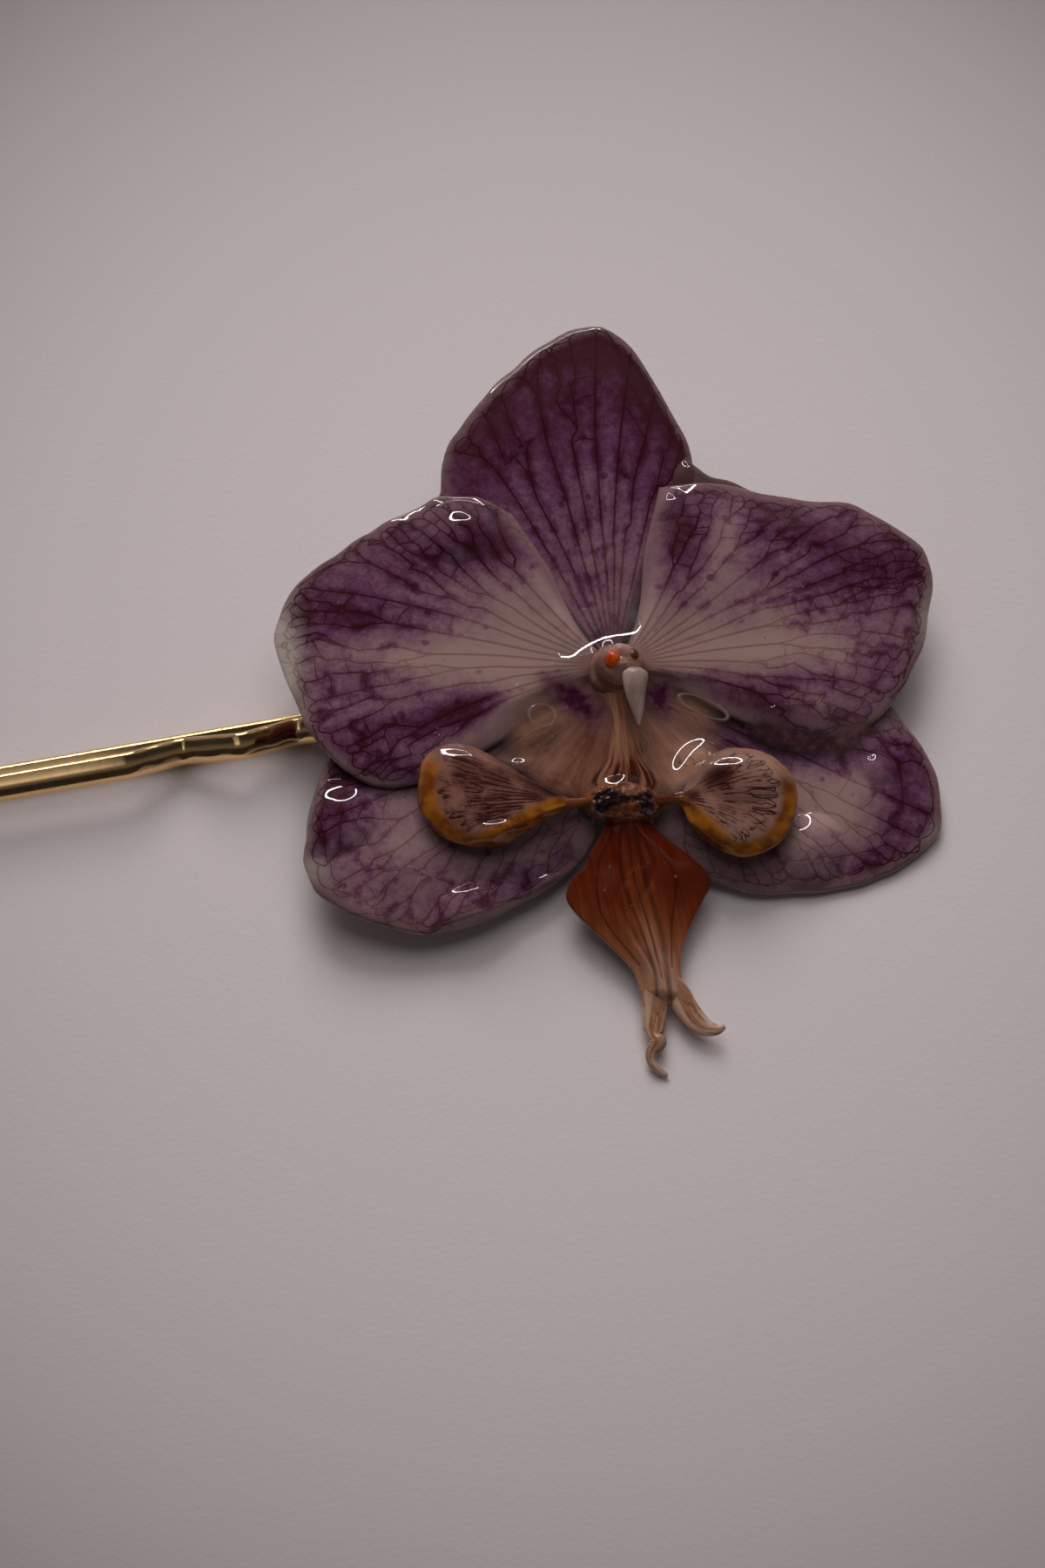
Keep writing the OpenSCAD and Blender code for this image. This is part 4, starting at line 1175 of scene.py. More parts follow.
# %% Charts of the films, and how a film settles
FILM_TENSION, FILM_GAP, FILM_SUNK, FILM_STEPS_MM = 700, 0.04, 0.35, 16
FILM_EDGE, CLAW_EDGE, CLAW_INSET, ABOVE_ALL, FILM_REST = 0.3, 0.3, 0.2, 20.0, 1.0
FILM_BROWN, FILM_PALE, FILM_FIBRE = seen_as(82, 48, 36), seen_as(126, 92, 76), seen_as(58, 26, 18)
VIOLET_STAIN = seen_as(72, 36, 60), seen_as(42, 8, 28)
MAROON_STAIN = seen_as(82, 52, 60), seen_as(54, 24, 32)
FILM_FAN, FILM_FAN_WIDTH = (0.2, -1.0), 9
FILMS = {
    "throat_film": {
        "middle": (0.0, -5.2), "half": (8.6, 6.4), "stained": VIOLET_STAIN, "stain_shows": True,
        "drops": ((0.1, -10.6, 3.0, 2.3, 18, 0.7),),
        "veil": ((-1.8, -6.4, 2.6, 3.4, -10, 1.4), (-4.2, -8.2, 2.6, 1.8, 40, 1.0),
                 (-6.4, -5.1, 4.6, 0.7, 34, 1.2), (-6.2, -7.4, 2.4, 0.9, -25, 0.8),
                 (3.2, -6.4, 2.6, 3.2, 10, 1.3), (5.4, -7.2, 1.8, 1.2, 30, 0.9),
                 (-7.0, -3.6, 3.4, 1.1, 30, 0.7), (6.2, -3.0, 2.6, 1.0, -22, 0.7)),
        "tone": ((-2.0, -6.4, 2.8, 3.8, 0, 0.9), (-5.0, -8.4, 3.2, 1.2, -35, 0.8),
                 (3.2, -7.0, 2.4, 2.6, 0, 0.5)),
        "stain": ((-2.5, -2.8, 2.6, 1.2, -42, 0.95), (-4.2, -1.9, 1.8, 0.9, -20, 0.5),
                  (3.0, -1.5, 1.6, 1.0, 30, 0.9), (3.3, -3.0, 1.0, 1.4, 0, 0.6))},
    "right_film": {
        "middle": (14.2, -4.4), "half": (5.4, 2.2), "stained": MAROON_STAIN, "stain_shows": False,
        "drops": (), "tone": (), "stain": ((11.5, -4.4, 9.0, 6.0, 0, 1.2),),
        "veil": ((11.0, -4.2, 2.4, 0.6, -16, 0.9), (13.6, -4.9, 2.8, 0.6, -3, 1.0),
                 (17.2, -3.9, 1.8, 0.5, 36, 0.8))},
}


def oval(across, along, middle, half):
    """A square of shares pressed onto an oval: its places, and their shares of the way out to its rim"""
    u, v = 2 * across - 1, 2 * along - 1
    a, b = u * np.sqrt(1 - v * v / 2), v * np.sqrt(1 - u * u / 2)
    return middle[0] + half[0] * a, middle[1] + half[1] * b, a, b


def highest_under(x, y):
    down, tops = Vector((0, 0, -1)), []
    for a, b in zip(x, y):
        hits = [tree.ray_cast(Vector((a, b, ABOVE_ALL)), down)[0] for tree in film_lies_on]
        tops.append(max((hit.z for hit in hits if hit), default=FILM_REST))
    return np.array(tops)


def pull_tight(across, along, lowest):
    """Evens out the heights of a sheet's points, none of them below its lowest"""
    i, j = (np.unique(np.round(share, 5), return_inverse=True)[1] for share in (across, along))
    under = np.zeros((i.max() + 1, j.max() + 1))
    under[i, j] = lowest
    sheet = under.copy()
    for _ in range(FILM_TENSION):
        inner = (sheet[2:, 1:-1] + sheet[:-2, 1:-1] + sheet[1:-1, 2:] + sheet[1:-1, :-2]) / 4
        sheet[1:-1, 1:-1] = np.maximum(under[1:-1, 1:-1], inner)
    return sheet[i, j]


print("films:", {name: (chart["middle"], chart["half"]) for name, chart in FILMS.items()})

# %% [markdown]
# A film's finish runs from pale to brown by its charted tone, with dark fibres in it. A charted stain covers
# both, and the veil says how much of the film is seen.

# %% Finish the films and lay them
def film_material(name, stained):
    """Brown film, with stains that run from the first to the second of two colours"""
    material, tree = new_material(name)
    swirl, flecks = noise_texture(tree, 450.0, 3.0), noise_texture(tree, 1500.0, 4.0, 0.65)
    streak = streaks(tree, 1.0, 0.14)
    tone = plus(tree, attribute(tree, "tone"), sway(tree, swirl, 0.6),
                sway(tree, flecks, 0.5), sway(tree, streak, 1.4))
    colour = mix_colour(tree, clamped(tree, tone), FILM_PALE, FILM_BROWN)
    fibre = times(tree, thin_lines(tree, streak, 0.53, 0.03), span(tree, swirl, 0.42, 0.62), 0.7)
    colour = mix_colour(tree, fibre, colour, FILM_FIBRE)
    ragged = plus(tree, 1.0, sway(tree, swirl, 1.2), sway(tree, flecks, 0.8))
    stain = times(tree, attribute(tree, "stain"), ragged)
    deep = mix_colour(tree, span(tree, plus(tree, flecks, times(tree, stain, 0.3)), 0.5, 1.0), *stained)
    colour = mix_colour(tree, clamped(tree, stain), colour, deep)
    finish_with(tree, resin_surface(tree, colour), minus(tree, 1.0, attribute(tree, "veil")))
    return material


def make_film(name, chart):
    middle, half = chart["middle"], chart["half"]

    def top(across, along):
        x, y, _, _ = oval(across, along, middle, half)
        sheet = pull_tight(across, along, highest_under(x, y) + FILM_GAP)
        return x, y, sheet + drop_lift(x, y, chart["drops"])

    def under(across, along):
        x, y, _, _ = oval(across, along, middle, half)
        return x, y, highest_under(x, y) - FILM_SUNK

    bm = closed_slab(top, under, *(int(h * FILM_STEPS_MM) for h in half))
    x, y, _ = positions(bm)
    veil, tone, stain = (soft_patches(x, y, chart[key]) for key in ("veil", "tone", "stain"))
    if chart["stain_shows"]:
        veil = np.maximum(veil, stain)
    out = np.hypot((x - middle[0]) / half[0], (y - middle[1]) / half[1])
    claw_x, claw_y, _, claw_half_w, _ = np.array(CLAW_ROWS)[::-1].T
    over_claw = np.interp(y, claw_y, claw_half_w) - CLAW_INSET - np.abs(x - np.interp(y, claw_y, claw_x))
    veil = np.clip(veil, 0, 1) * ease((1 - out) / FILM_EDGE) * (1 - ease(over_claw / CLAW_EDGE + 0.5))
    dx, dy = x - FILM_FAN[0], y - FILM_FAN[1]
    fan = np.stack([FILM_FAN_WIDTH * np.arctan2(dx, -dy), np.hypot(dx, dy), 0 * x], 1)
    write_attributes(bm, veil=veil, tone=tone, stain=stain, fan=fan)
    hand_over(bm, name, film_material(name + "_finish", chart["stained"]), flower_place)


for film_name, film_chart in FILMS.items():
    make_film(film_name, film_chart)

# %% [markdown]
# Behind the column the coat piled up into a swell, whose shoulder shines as one long curved line. A mirror
# shows the ring lamp only where it has one certain tilt. So the swell has just that tilt all along the line,
# leans less in front of it and more behind it, and falls off steeply past the line's two ends. The line is
# written as how far back it lies at each place across, and a second table gives the slope at each distance
# behind the line. Adding up the slopes gives the height.

# %% The swell behind the column
SWELL_TURN, SWELL_TILT, SWELL_DIVE = 18.0, 15.4, 40.0
SWELL_LINE = ((-5.0, 1.9), (-3.7, 1.85), (-2.9, 1.66), (-1.9, 2.08), (-0.6, 2.43), (0.5, 2.43), (1.8, 2.23),
              (2.3, 2.33), (2.7, 2.69), (3.6, 3.6))
SWELL_ENDS, SWELL_MARGIN, SWELL_SIDES = (-3.75, 2.72), 1.4, (-0.6, 5.4)
SWELL_LEVEL, SWELL_LEVEL_BACK, SWELL_FLOOR, SWELL_SUNK = 2.35, 2.43, 0.75, 0.2
SWELL_OUT = (-3.0, -1.5, -1.0, -0.5, 0.0, 0.6, 1.4, 4.0)
SWELL_SLOPES = (-30.0, -18.0, 2.0, 12.8, SWELL_TILT, 18.4, 21.5, 22.0)
SWELL_STEPS, LINE_STEPS, SLOPE_STEPS = (150, 100), 300, 900


def swell_place(across, along):
    c, s = math.cos(math.radians(SWELL_TURN)), math.sin(math.radians(SWELL_TURN))
    sideways = mix(SWELL_ENDS[0] - SWELL_MARGIN, SWELL_ENDS[1] + SWELL_MARGIN, across)
    back = mix(*SWELL_SIDES, along)
    return c * sideways - s * back, s * sideways + c * back, sideways, back


def swell_top(across, along):
    x, y, sideways, back = swell_place(across, along)
    line = smooth_rows(SWELL_LINE, LINE_STEPS)
    out = back - np.interp(sideways, line[:, 0], line[:, 1])
    steps = np.linspace(out.min(), out.max(), SLOPE_STEPS)
    tilt = math.tan(math.radians(SWELL_TILT))
    steeper = np.tan(np.radians(np.interp(steps, SWELL_OUT, SWELL_SLOPES))) - tilt
    bend = np.cumsum(steeper) * (steps[1] - steps[0])
    fall = tilt * (back - SWELL_LEVEL_BACK) + np.interp(out, steps, bend) - np.interp(0, steps, bend)
    past_end = np.maximum(0, SWELL_ENDS[0] - sideways) + np.maximum(0, sideways - SWELL_ENDS[1])
    top = SWELL_LEVEL - fall - math.tan(math.radians(SWELL_DIVE)) * past_end
    return x, y, np.maximum(top, SWELL_FLOOR)


def swell_under(across, along):
    x, y, _, _ = swell_place(across, along)
    return x, y, np.full(len(x), SWELL_FLOOR - SWELL_SUNK)


material, tree = new_material("swell_gloss")
finish_with(tree, resin_surface(tree, FILM_PALE), 1.0)
hand_over(closed_slab(swell_top, swell_under, *SWELL_STEPS), "crown_swell", material,
          flower_place)

# %% [markdown]
# A pollen mass is a small waxy bead, not quite round. Each starts as an icosphere, is pressed a little flat
# and is pushed in and out by slow noise.

# %% Pollen masses
POLLINIA = {
    "left_pollinium": ((-0.45, -0.3, 4.3), 0.7, "pollinium", seen_as(170, 70, 6), seen_as(150, 44, 2)),
    "right_pollinium": ((0.95, 0.1, 4.15), 0.58, "pollinium_dark", seen_as(84, 44, 24), seen_as(60, 26, 14)),
}
BEAD_LUMP, BEAD_LUMP_PITCH, BEAD_SQUEEZE = 0.07, 2.6, 0.86
for bead_name, (middle, radius, slot, light, dark) in POLLINIA.items():
    bm = bmesh.new()
    bmesh.ops.create_icosphere(bm, subdivisions=5, radius=radius)
    for vert in bm.verts:
        vert.co *= 1 + BEAD_LUMP * noise.noise(vert.co * BEAD_LUMP_PITCH + Vector(middle))
        vert.co.x *= BEAD_SQUEEZE
        vert.co += Vector(middle)
    material, tree = new_material(bead_name)
    blotch = noise_texture(tree, 1300.0, 3.0)
    finish_with(tree, resin_surface(tree, mix_colour(tree, span(tree, blotch, 0.35, 0.65), dark, light)))
    hand_over(bm, bead_name + "_bead", material, flower_place, (bead_name,))

# %% [markdown]
# ## Callus
# The callus is the knobbly boss where the lip's three lobes meet: black-brown warts with a furrow between
# them, in an orange-brown rim. It is one slab bent into a low dome. Two sizes of noise raise the warts, each
# with its height, its size and its seed, and three soft patches say where they are black.

# %% Callus
CALLUS_MIDDLE, CALLUS_HALF, CALLUS_BOTTOM, CALLUS_RIM_T = (0.5, -10.15), (2.9, 1.6), 1.3, 0.3
CALLUS_H, CALLUS_DOME, CALLUS_STEPS = 1.9, 0.86, (120, 80)
FURROW_DEPTH, FURROW_HALF = 0.3, 0.12
WARTS = ((0.3, 0.75, 9.0), (0.12, 0.3, 4.0))
DARK_WARTS = ((-0.9, -10.4, 0.8, 0.9, 0, 1.0), (2.1, -10.4, 0.7, 0.9, 0, 0.95),
              (0.4, -10.2, 0.9, 0.7, 0, 0.5))


def callus_under(across, along):
    x, y, _, _ = oval(across, along, CALLUS_MIDDLE, CALLUS_HALF)
    return x, y, np.full(len(x), CALLUS_BOTTOM)


def callus_top(across, along):
    x, y, a, b = oval(across, along, CALLUS_MIDDLE, CALLUS_HALF)
    out = np.minimum(np.hypot(a, b), 1)
    furrow = FURROW_DEPTH * np.exp(-(a / FURROW_HALF) ** 2) * ease(2 * (1 - out))
    warts = sum(height * waves(x, y, size, seed) for height, size, seed in WARTS)
    dome = CALLUS_H * np.sqrt(1 - out ** 2) * CALLUS_DOME
    return x, y, CALLUS_BOTTOM + CALLUS_RIM_T + dome + (warts - furrow) * ease(3 * (1 - out))


def callus_material():
    material, tree = new_material("warty_callus")
    warts = noise_texture(tree, 1500.0, 3.0, 0.6)
    dark = plus(tree, attribute(tree, "tone"), sway(tree, warts, 1.4))
    flesh = mix_colour(tree, span(tree, warts, 0.35, 0.65), seen_as(70, 34, 20), seen_as(112, 66, 40))
    colour = mix_colour(tree, span(tree, dark, 0.3, 0.6), flesh, seen_as(28, 12, 14))
    surface = resin_surface(tree, colour, Normal=bump_normal(tree, warts, 0.6, 0.15))
    finish_with(tree, surface)
    return material


bm = closed_slab(callus_top, callus_under, *CALLUS_STEPS)
x, y, _ = positions(bm)
write_attributes(bm, tone=soft_patches(x, y, DARK_WARTS))
hand_over(bm, "callus_boss", callus_material(), flower_place, ("lip_callus",))

# %% [markdown]
# ## Midlobe
# The lip's middle lobe is an arrowhead of orange-brown flesh with two folds down its middle. Dark lines
# follow the folds. Its outline is a table of rows, each with how far down it lies, its left and right edge
# and its underside's level. It grows paler towards its foot and along its middle line, its axis.

# %% Midlobe
MIDLOBE_ROWS = (
    (11.2, -0.6, 2.4, 1.0), (12.1, -0.9, 3.2, 1.0), (13.5, -1.6, 5.0, 1.0), (14.8, -2.2, 6.4, 1.0),
    (15.8, -3.0, 6.8, 1.0), (17.2, -3.4, 6.2, 1.0), (18.7, -2.4, 5.5, 1.0), (20.7, -0.3, 4.8, 1.05),
    (22.5, 1.3, 4.7, 1.1), (24.0, 1.8, 5.1, 1.1), (25.0, 2.0, 5.7, 1.1))
MIDLOBE_T, MIDLOBE_RIM_T, MIDLOBE_RISE, MIDLOBE_FOOT_T = 0.8, 0.4, 0.35, 0.25
MIDLOBE_STEPS, OUTLINE_STEPS, MIDLOBE_HALF_W = (120, 200), 400, 6
MIDLOBE_ROUND_RUN, MIDLOBE_ROUND_BY, MIDLOBE_WAVE, MIDLOBE_WAVE_SIZE = 0.3, 0.15, 0.06, 1.6
# Each fold's share across, half width and relative depth
FOLDS, FOLD_DEPTH = ((0.38, 0.04, 1), (0.56, 0.035, 1.3)), 0.16
MIDLOBE_TONES = tones((0.0, 62, 14, 4), (0.25, 78, 28, 9), (0.45, 94, 46, 24), (0.65, 112, 66, 42),
                      (1.0, 142, 108, 86))
AXIS_TOP, AXIS_SLANT, AXIS_HALF_W = (1.0, 12.0), 0.21, 1.1
FOLD_LINES = (
    ((0.3, -12.3), (0.5, -15.8), (1.7, -19.5), (2.7, -22.5), (3.0, -25.0)),
    ((1.3, -12.3), (2.1, -15.8), (3.0, -19.0), (3.5, -21.5), (3.9, -25.0)),
    ((0.9, -12.5), (1.3, -15.8), (2.4, -19.5), (3.2, -23.0)),
    ((-0.3, -12.6), (-1.2, -15.0), (-0.9, -18.5), (1.6, -22.0)),
    ((2.2, -12.6), (4.2, -15.5), (4.0, -19.0), (4.0, -22.0)))
FOLD_HALF_WIDTHS = (0.12, 0.2, 0.07, 0.07, 0.07)


def midlobe_place(across, along):
    outline = smooth_rows(MIDLOBE_ROWS, OUTLINE_STEPS)
    down, left, right_edge, level = outline[np.rint(along * (OUTLINE_STEPS - 1)).astype(int)].T
    return mix(left, right_edge, across), -down, level + MIDLOBE_RISE * ease(1 - np.abs(2 * across - 1))


def midlobe_top(across, along):
    x, y, under = midlobe_place(across, along)
    to_side = np.minimum(across, 1 - across)
    folds = sum(depth * np.exp(-((across - at) / half_w) ** 2) for at, half_w, depth in FOLDS)
    top = under + mix(MIDLOBE_RIM_T, MIDLOBE_T, ease(2 * to_side))
    top -= FOLD_DEPTH * folds * ease(6 * along) * ease(4 * (1 - along))
    top -= (MIDLOBE_T - MIDLOBE_FOOT_T) * ease((along - 0.9) / 0.1)
    side_mm = to_side * MIDLOBE_HALF_W
    top += MIDLOBE_WAVE * waves(x, y, MIDLOBE_WAVE_SIZE, 2.0) * ease(side_mm)
    return x, y, top - MIDLOBE_ROUND_BY * rounded_rim(1 - np.clip(side_mm / MIDLOBE_ROUND_RUN, 0, 1))


def midlobe_material():
    material, tree = new_material("folded_midlobe")
    streak, mottle = streaks(tree, 14.0, 0.12), noise_texture(tree, 900.0, 3.0)
    paler = plus(tree, attribute(tree, "tone"), sway(tree, streak, 0.5), sway(tree, mottle, 0.2))
    colour = colour_ramp(tree, paler, MIDLOBE_TONES)
    colour = mix_colour(tree, times(tree, vein_line(tree, 1.8, 0.2), 0.6), colour, seen_as(40, 8, 5))
    finish_with(tree, resin_surface(tree, colour, Normal=bump_normal(tree, streak, 0.35, 0.12)))
    return material


bm = closed_slab(midlobe_top, midlobe_place, *MIDLOBE_STEPS)
x, y, _ = positions(bm)
fold_lines = [(smooth_rows(line, 240), half_w) for line, half_w in zip(FOLD_LINES, FOLD_HALF_WIDTHS)]
fold_mm, fold_side, fold_w = measure_veins(x, y, *sample_lines(fold_lines))
down = -y
from_axis = x - (AXIS_TOP[0] + (down - AXIS_TOP[1]) * AXIS_SLANT)
on_axis = np.exp(-(from_axis / AXIS_HALF_W) ** 2) * ease((down - AXIS_TOP[1]) / 4)
paler = 0.12 + 0.7 * ease((down - 15.0) / 9) + 0.2 * on_axis
write_attributes(bm, vein_mm=fold_mm, vein_side=fold_side, vein_w=fold_w, tone=paler,
                 fan=np.stack([from_axis / 5, down, 0 * x], 1))
hand_over(bm, "midlobe_blade", midlobe_material(), flower_place, ("lip_midlobe",))

# %% [markdown]
# The middle lobe ends in two straw-coloured tendrils: a left one that curls at its tip and a right one that
# bends away. Both are rods.

# %% Tendrils
LEFT_TENDRIL_ROWS = (
    (2.9, -23.6, 1.4, 0.8, 0.3), (2.85, -24.6, 1.45, 0.95, 0.32), (2.8, -25.6, 1.45, 0.85, 0.32),
    (2.75, -26.8, 1.5, 0.75, 0.3),
    (2.75, -27.3, 1.6, 0.45, 0.3), (3.05, -27.8, 1.65, 0.6, 0.42), (2.6, -28.5, 1.55, 0.42, 0.28),
    (2.65, -29.2, 1.45, 0.34, 0.22), (3.2, -29.8, 1.35, 0.3, 0.2), (3.75, -30.1, 1.35, 0.15, 0.12))
RIGHT_TENDRIL_ROWS = (
    (4.0, -23.2, 1.4, 0.7, 0.3), (4.45, -24.1, 1.45, 0.9, 0.32), (5.0, -25.1, 1.5, 0.85, 0.3),
    (5.6, -26.0, 1.65, 0.8, 0.28),
    (6.3, -26.6, 1.75, 0.65, 0.26), (7.1, -26.8, 1.85, 0.42, 0.24), (7.7, -26.6, 2.0, 0.15, 0.12))
TENDRIL_STEPS, TENDRIL_SIDES = 110, 32
TENDRIL_TONES = tones((0.0, 104, 64, 42), (0.35, 122, 86, 64), (0.7, 138, 108, 88), (1.0, 154, 130, 114))
tendril_finish = striped_material("straw_tendril", TENDRIL_TONES, 2.2, 0.3, seen_as(92, 44, 28), 0.7, 0.6)
for tendril_name, rows in (("left_tendril", LEFT_TENDRIL_ROWS), ("right_tendril", RIGHT_TENDRIL_ROWS)):
    bm = rod_mesh(smooth_rows(rows, TENDRIL_STEPS), TENDRIL_SIDES)
    hand_over(bm, tendril_name, tendril_finish, flower_place)

# %% [markdown]
# ## Resin web and dab
# Where the upper sepal and the right petal part, a strip of resin bridges them, brownish where it caught the
# petal's sap. Under the flower a dab of clear resin holds the wire's closed end. Clear resin is drawn as a
# glossy surface that is partly transparent.

# %% Web and dab
WEB_OUTER = ((5.2, 17.6), (5.75, 16.95), (6.9, 16.1), (8.4, 15.8), (10.2, 15.0), (12.5, 14.2), (15.0, 13.6),
             (17.0, 13.2))
WEB_INNER = ((3.8, 15.6), (4.3, 15.0), (5.5, 14.2), (7.2, 14.0), (9.3, 13.4), (11.8, 12.7), (14.4, 12.2),
             (16.2, 12.2))
WEB_LEVEL, WEB_T, WEB_STEPS, WEB_LINE_STEPS = 0.2, 0.55, (96, 24), 400
WEB_SWELL, WEB_SWELL_AT, WEB_WAVE, WEB_WAVE_SIZE = 0.3, 0.2, 0.05, 1.5
DAB_MIDDLE, DAB_HALF, DAB_DEPTH, DAB_LUMP, DAB_LUMP_PITCH = (-0.4, 0.6), (5.5, 4.2), 2.1, 0.03, 2.2


def clear_material(name, colour, see_through, bump_scale):
    material, tree = new_material(name)
    swirl = noise_texture(tree, bump_scale, 3.0, 0.5)
    tint = mix_colour(tree, span(tree, swirl, 0.3, 0.7), colour, tuple(min(1.0, 1.3 * c) for c in colour))
    surface = resin_surface(tree, tint, Normal=bump_normal(tree, swirl, 0.3, 0.1))
    finish_with(tree, surface, see_through)
    return material


def web_place(across, along):
    step = np.rint(across * (WEB_LINE_STEPS - 1)).astype(int)
    inner, outer = (smooth_rows(line, WEB_LINE_STEPS)[step] for line in (WEB_INNER, WEB_OUTER))
    return mix(inner[:, 0], outer[:, 0], along), mix(inner[:, 1], outer[:, 1], along)


def web_under(across, along):
    x, y = web_place(across, along)
    return x, y, np.full(len(x), WEB_LEVEL)


def web_top(across, along):
    x, y = web_place(across, along)
    rounding = np.clip((along - 0.7) / 0.3, 0, 1)
    swell = WEB_SWELL * ease(1 - 4 * np.abs(across - WEB_SWELL_AT)) * ease(2 * along)
    top = WEB_LEVEL + (WEB_T + swell) * mix(1, np.sqrt(1 - rounding ** 2), 0.7)
    return x, y, top + WEB_WAVE * waves(x, y, WEB_WAVE_SIZE, 6.0)


web_finish = clear_material("brown_resin", seen_as(66, 44, 42), 0.2, 500.0)
hand_over(closed_slab(web_top, web_under, *WEB_STEPS), "resin_web_strip", web_finish,
          flower_place, ("resin_web",))

bm = bmesh.new()
bmesh.ops.create_uvsphere(bm, u_segments=64, v_segments=32, radius=1)
bmesh.ops.bisect_plane(bm, geom=bm.verts[:] + bm.edges[:] + bm.faces[:], plane_co=(0, 0, 0),
                       plane_no=(0, 0, 1), clear_outer=True)
bmesh.ops.holes_fill(bm, edges=[e for e in bm.edges if e.is_boundary], sides=0)
for vert in bm.verts:
    lump = 1 + DAB_LUMP * noise.noise(vert.co * DAB_LUMP_PITCH)
    vert.co = Vector((DAB_MIDDLE[0] + DAB_HALF[0] * vert.co.x * lump,
                      DAB_MIDDLE[1] + DAB_HALF[1] * vert.co.y * lump, -LAYER_GAP + DAB_DEPTH * vert.co.z))
bmesh.ops.recalc_face_normals(bm, faces=bm.faces)
dab_finish = clear_material("clear_dab", seen_as(120, 106, 98), 0.45, 250.0)
hand_over(bm, "resin_dab_drop", dab_finish, flower_place, ("resin_dab",))

# %% [markdown]
# ## Rings and bubbles in the coat
# Where a bubble burst or the coat met a fold, it set as a low ring. Tiny bubbles stayed in it elsewhere. The
# rings are thin clear rods bent into closed ovals that lie on the petals; the bubbles are small clear beads,
# strewn from a fixed seed and made as one piece.

# %% Rings and bubbles
# Each ring's middle, radii, turn in degrees and level
COAT_RINGS = {
    "left_ring": ((-5.3, -3.9), (0.95, 0.85), -20, 2.35),
    "right_ring": ((6.2, -2.8), (1.9, 0.6), -24, 2.3),
}
RING_STEPS, RING_SIDES, RING_HALF_T, RING_HALF_T_SWAY, RING_FLATNESS = 121, 16, 0.09, 0.05, 0.8
# Each area's middle, reach, count of bubbles and level
BUBBLE_AREAS = (((-16.5, -10.5), 4.0, 12, 1.15), ((15.0, -9.0), 5.0, 12, 1.15), ((2.0, -16.5), 3.0, 7, 2.1),
                ((-15.0, 4.0), 6.0, 8, 2.2), ((14.0, 6.0), 6.0, 8, 2.3), ((-11.0, -6.8), 2.6, 12, 2.4),
                ((-5.0, -5.2), 2.6, 8, 2.3))
ring_finish = clear_material("ring_resin", seen_as(120, 96, 90), 0.68, 700.0)
for ring_name, ((cx, cy), (long_r, short_r), turn_deg, level) in COAT_RINGS.items():
    around = np.linspace(0, 2 * np.pi, RING_STEPS)
    a, b = long_r * np.cos(around), short_r * np.sin(around)
    c, s = math.cos(math.radians(turn_deg)), math.sin(math.radians(turn_deg))
    thick = RING_HALF_T + RING_HALF_T_SWAY * np.sin(2 * around + 1)
    stations = np.stack([cx + a * c - b * s, cy + a * s + b * c, level + 0 * a, thick, thick * RING_FLATNESS],
                        1)
    hand_over(rod_mesh(stations, RING_SIDES), ring_name, ring_finish, flower_place)

BUBBLE_SEED, BUBBLE_RADII = 31, (0.05, 0.11)
rng = np.random.default_rng(BUBBLE_SEED)
bubbles = bmesh.new()
for (cx, cy), reach, count, level in BUBBLE_AREAS:
    for _ in range(count):
        heading, away = rng.uniform(0, 2 * np.pi), reach * math.sqrt(rng.uniform(0, 1))
        size = rng.uniform(*BUBBLE_RADII)
        place = Matrix.Translation((cx + away * math.cos(heading), cy + away * math.sin(heading), level))
        bmesh.ops.create_icosphere(bubbles, subdivisions=2, radius=size, matrix=place)
hand_over(bubbles, "coat_bubbles", ring_finish, flower_place)

# %% [markdown]
# ## The wire grip
# One length of oval gold wire: straight leg, closed end, waved leg. The straight leg and the bend lie in one
# plane with the waves, so the whole path is a list of places in that plane. The waves are not a plain sine:
# adding a ninth of its third harmonic gives them the straighter flanks and tighter turns of real grip wire.
# The gold is polished, with a fine scuff that takes some of its shine in places, and faint dents.

# %% The wire
TIP_REACH, BEND_REACH, BEND_GAP, LEG_GAP = 58.0, 5.0, 1.7, 1.2
WAVE_RISE, WAVE_LENGTH, WAVE_START, WAVE_COUNT, TIP_RISE = 1.6, 8.3, 35.8, 2.5, 0.6
CLOSE_RUN, TIP_RUN, TIP_ROUND_STEPS, TIP_LEAST = 6.0, 6.0, 2.0, 0.1
STRAIGHT_STEPS, BEND_STEPS, WAVED_STEPS, WIRE_SIDES = 80, 26, 420, 32
GOLD, WORN_GOLD = (0.82, 0.55, 0.27, 1.0), (0.56, 0.36, 0.18, 1.0)
WAVE_END = WAVE_START - WAVE_COUNT * WAVE_LENGTH


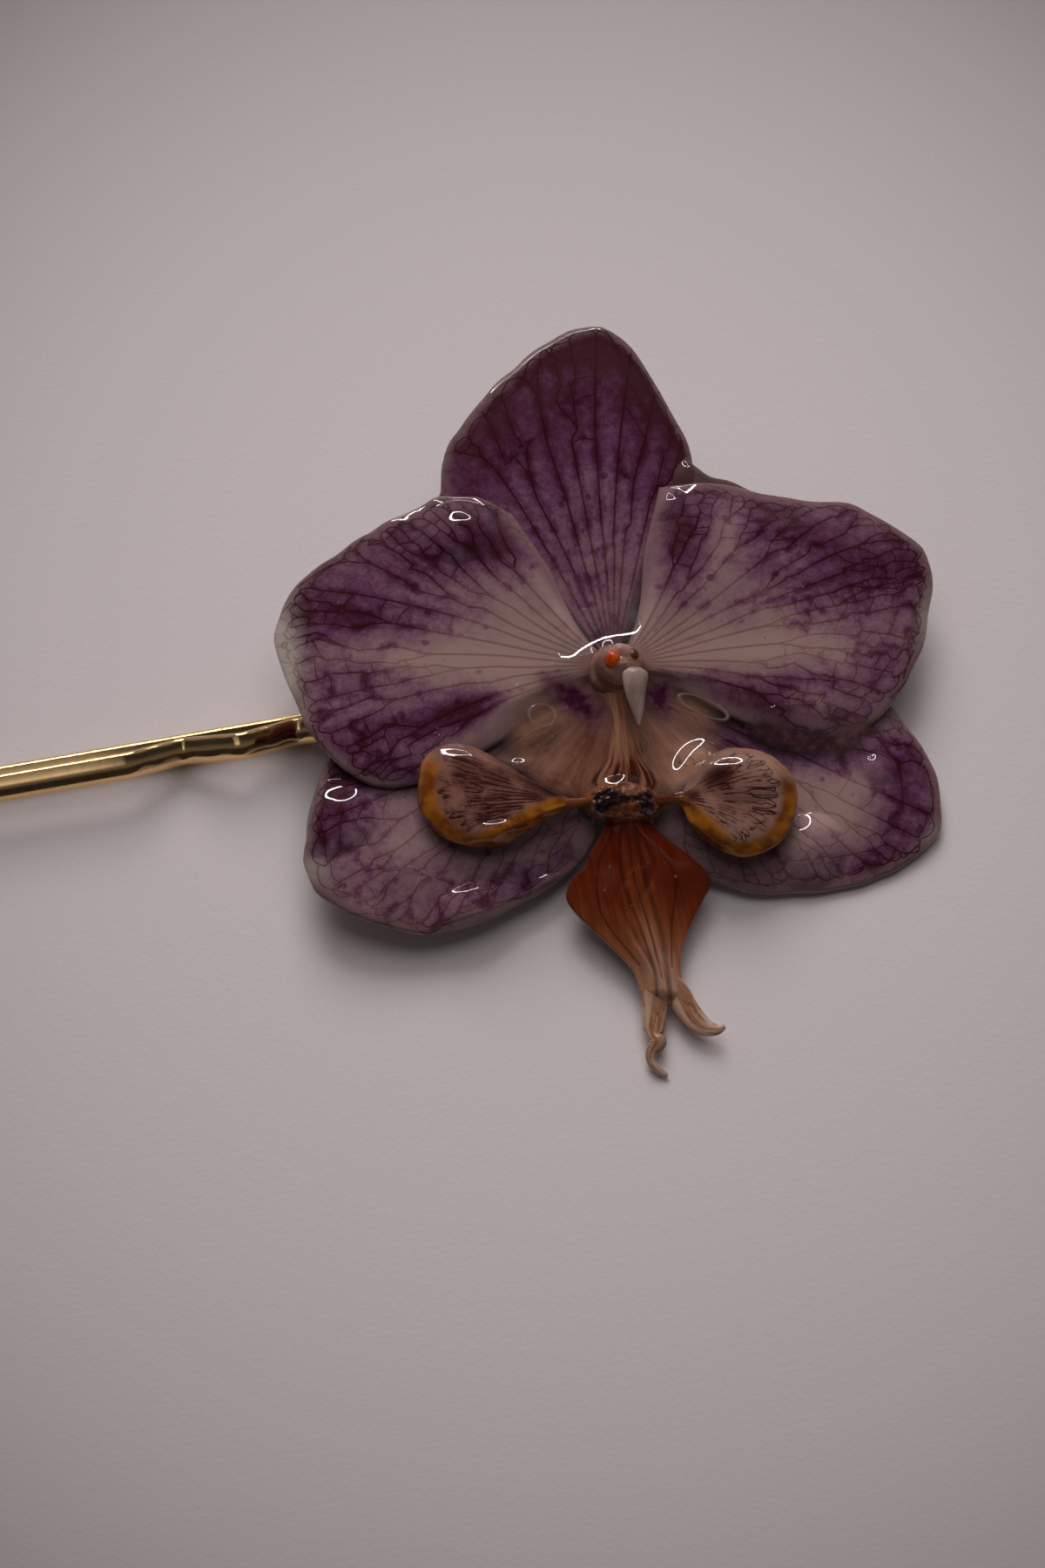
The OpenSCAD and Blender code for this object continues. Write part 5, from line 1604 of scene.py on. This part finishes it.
def leg_rise(x):
    """How far the waved leg stands off the straight one"""
    turn = 2 * np.pi * (x + WAVE_START) / WAVE_LENGTH
    wave = (np.cos(turn) + np.cos(3 * turn) / 9) / (10 / 9)
    closing = mix(LEG_GAP, BEND_GAP, ease((x + WAVE_END) / CLOSE_RUN))
    waved = LEG_GAP + WAVE_RISE * (1 + wave) / 2
    tip = LEG_GAP + WAVE_RISE + TIP_RISE * ease((-TIP_REACH + TIP_RUN - x) / TIP_RUN)
    return np.where(x > -WAVE_END, closing, np.where(x > -WAVE_START, waved, tip))


straight = np.stack([np.linspace(-TIP_REACH, BEND_REACH, STRAIGHT_STEPS), np.zeros(STRAIGHT_STEPS)], 1)
turn = np.linspace(-np.pi / 2, np.pi / 2, BEND_STEPS)[1:-1]
bend = np.stack([BEND_REACH + BEND_GAP / 2 * np.cos(turn), BEND_GAP / 2 * (1 + np.sin(turn))], 1)
waved_x = np.linspace(BEND_REACH, -TIP_REACH, WAVED_STEPS)
path = np.concatenate([straight, bend, np.stack([waved_x, leg_rise(waved_x)], 1)])
from_start = np.arange(len(path))
inward = np.clip(np.minimum(from_start, len(path) - 1 - from_start) / TIP_ROUND_STEPS, 0, 1)
rounded = np.sqrt(1 - (1 - inward) ** 2) * (1 - TIP_LEAST) + TIP_LEAST
stations = np.stack([path[:, 0], 0 * path[:, 0], path[:, 1], WIRE_HALF_W * rounded, WIRE_HALF_T * rounded], 1)

material, tree = new_material("polished_gold")
scuff, dent = noise_texture(tree, 1200.0, 4.0, 0.7), noise_texture(tree, 260.0, 2.0)
gold = add_node(tree, "ShaderNodeBsdfPrincipled", {
    "Base Color": mix_colour(tree, span(tree, scuff, 0.62, 0.72), GOLD, WORN_GOLD), "Metallic": 1.0,
    "Roughness": span(tree, scuff, 0.3, 0.8, 0.09, 0.22),
    "Normal": bump_normal(tree, plus(tree, times(tree, scuff, 0.2), dent), 0.08, 0.05)})
finish_with(tree, gold.outputs[0])
bm = rod_mesh(stations, WIRE_SIDES, side=(0, 1, 0))
wire = hand_over(bm, "hair_pin_wire", material, pin_place, ("hair_pin",))
sees_the_card.objects.link(wire)

# %% View transform
bpy.context.scene.view_settings.view_transform = "Standard"
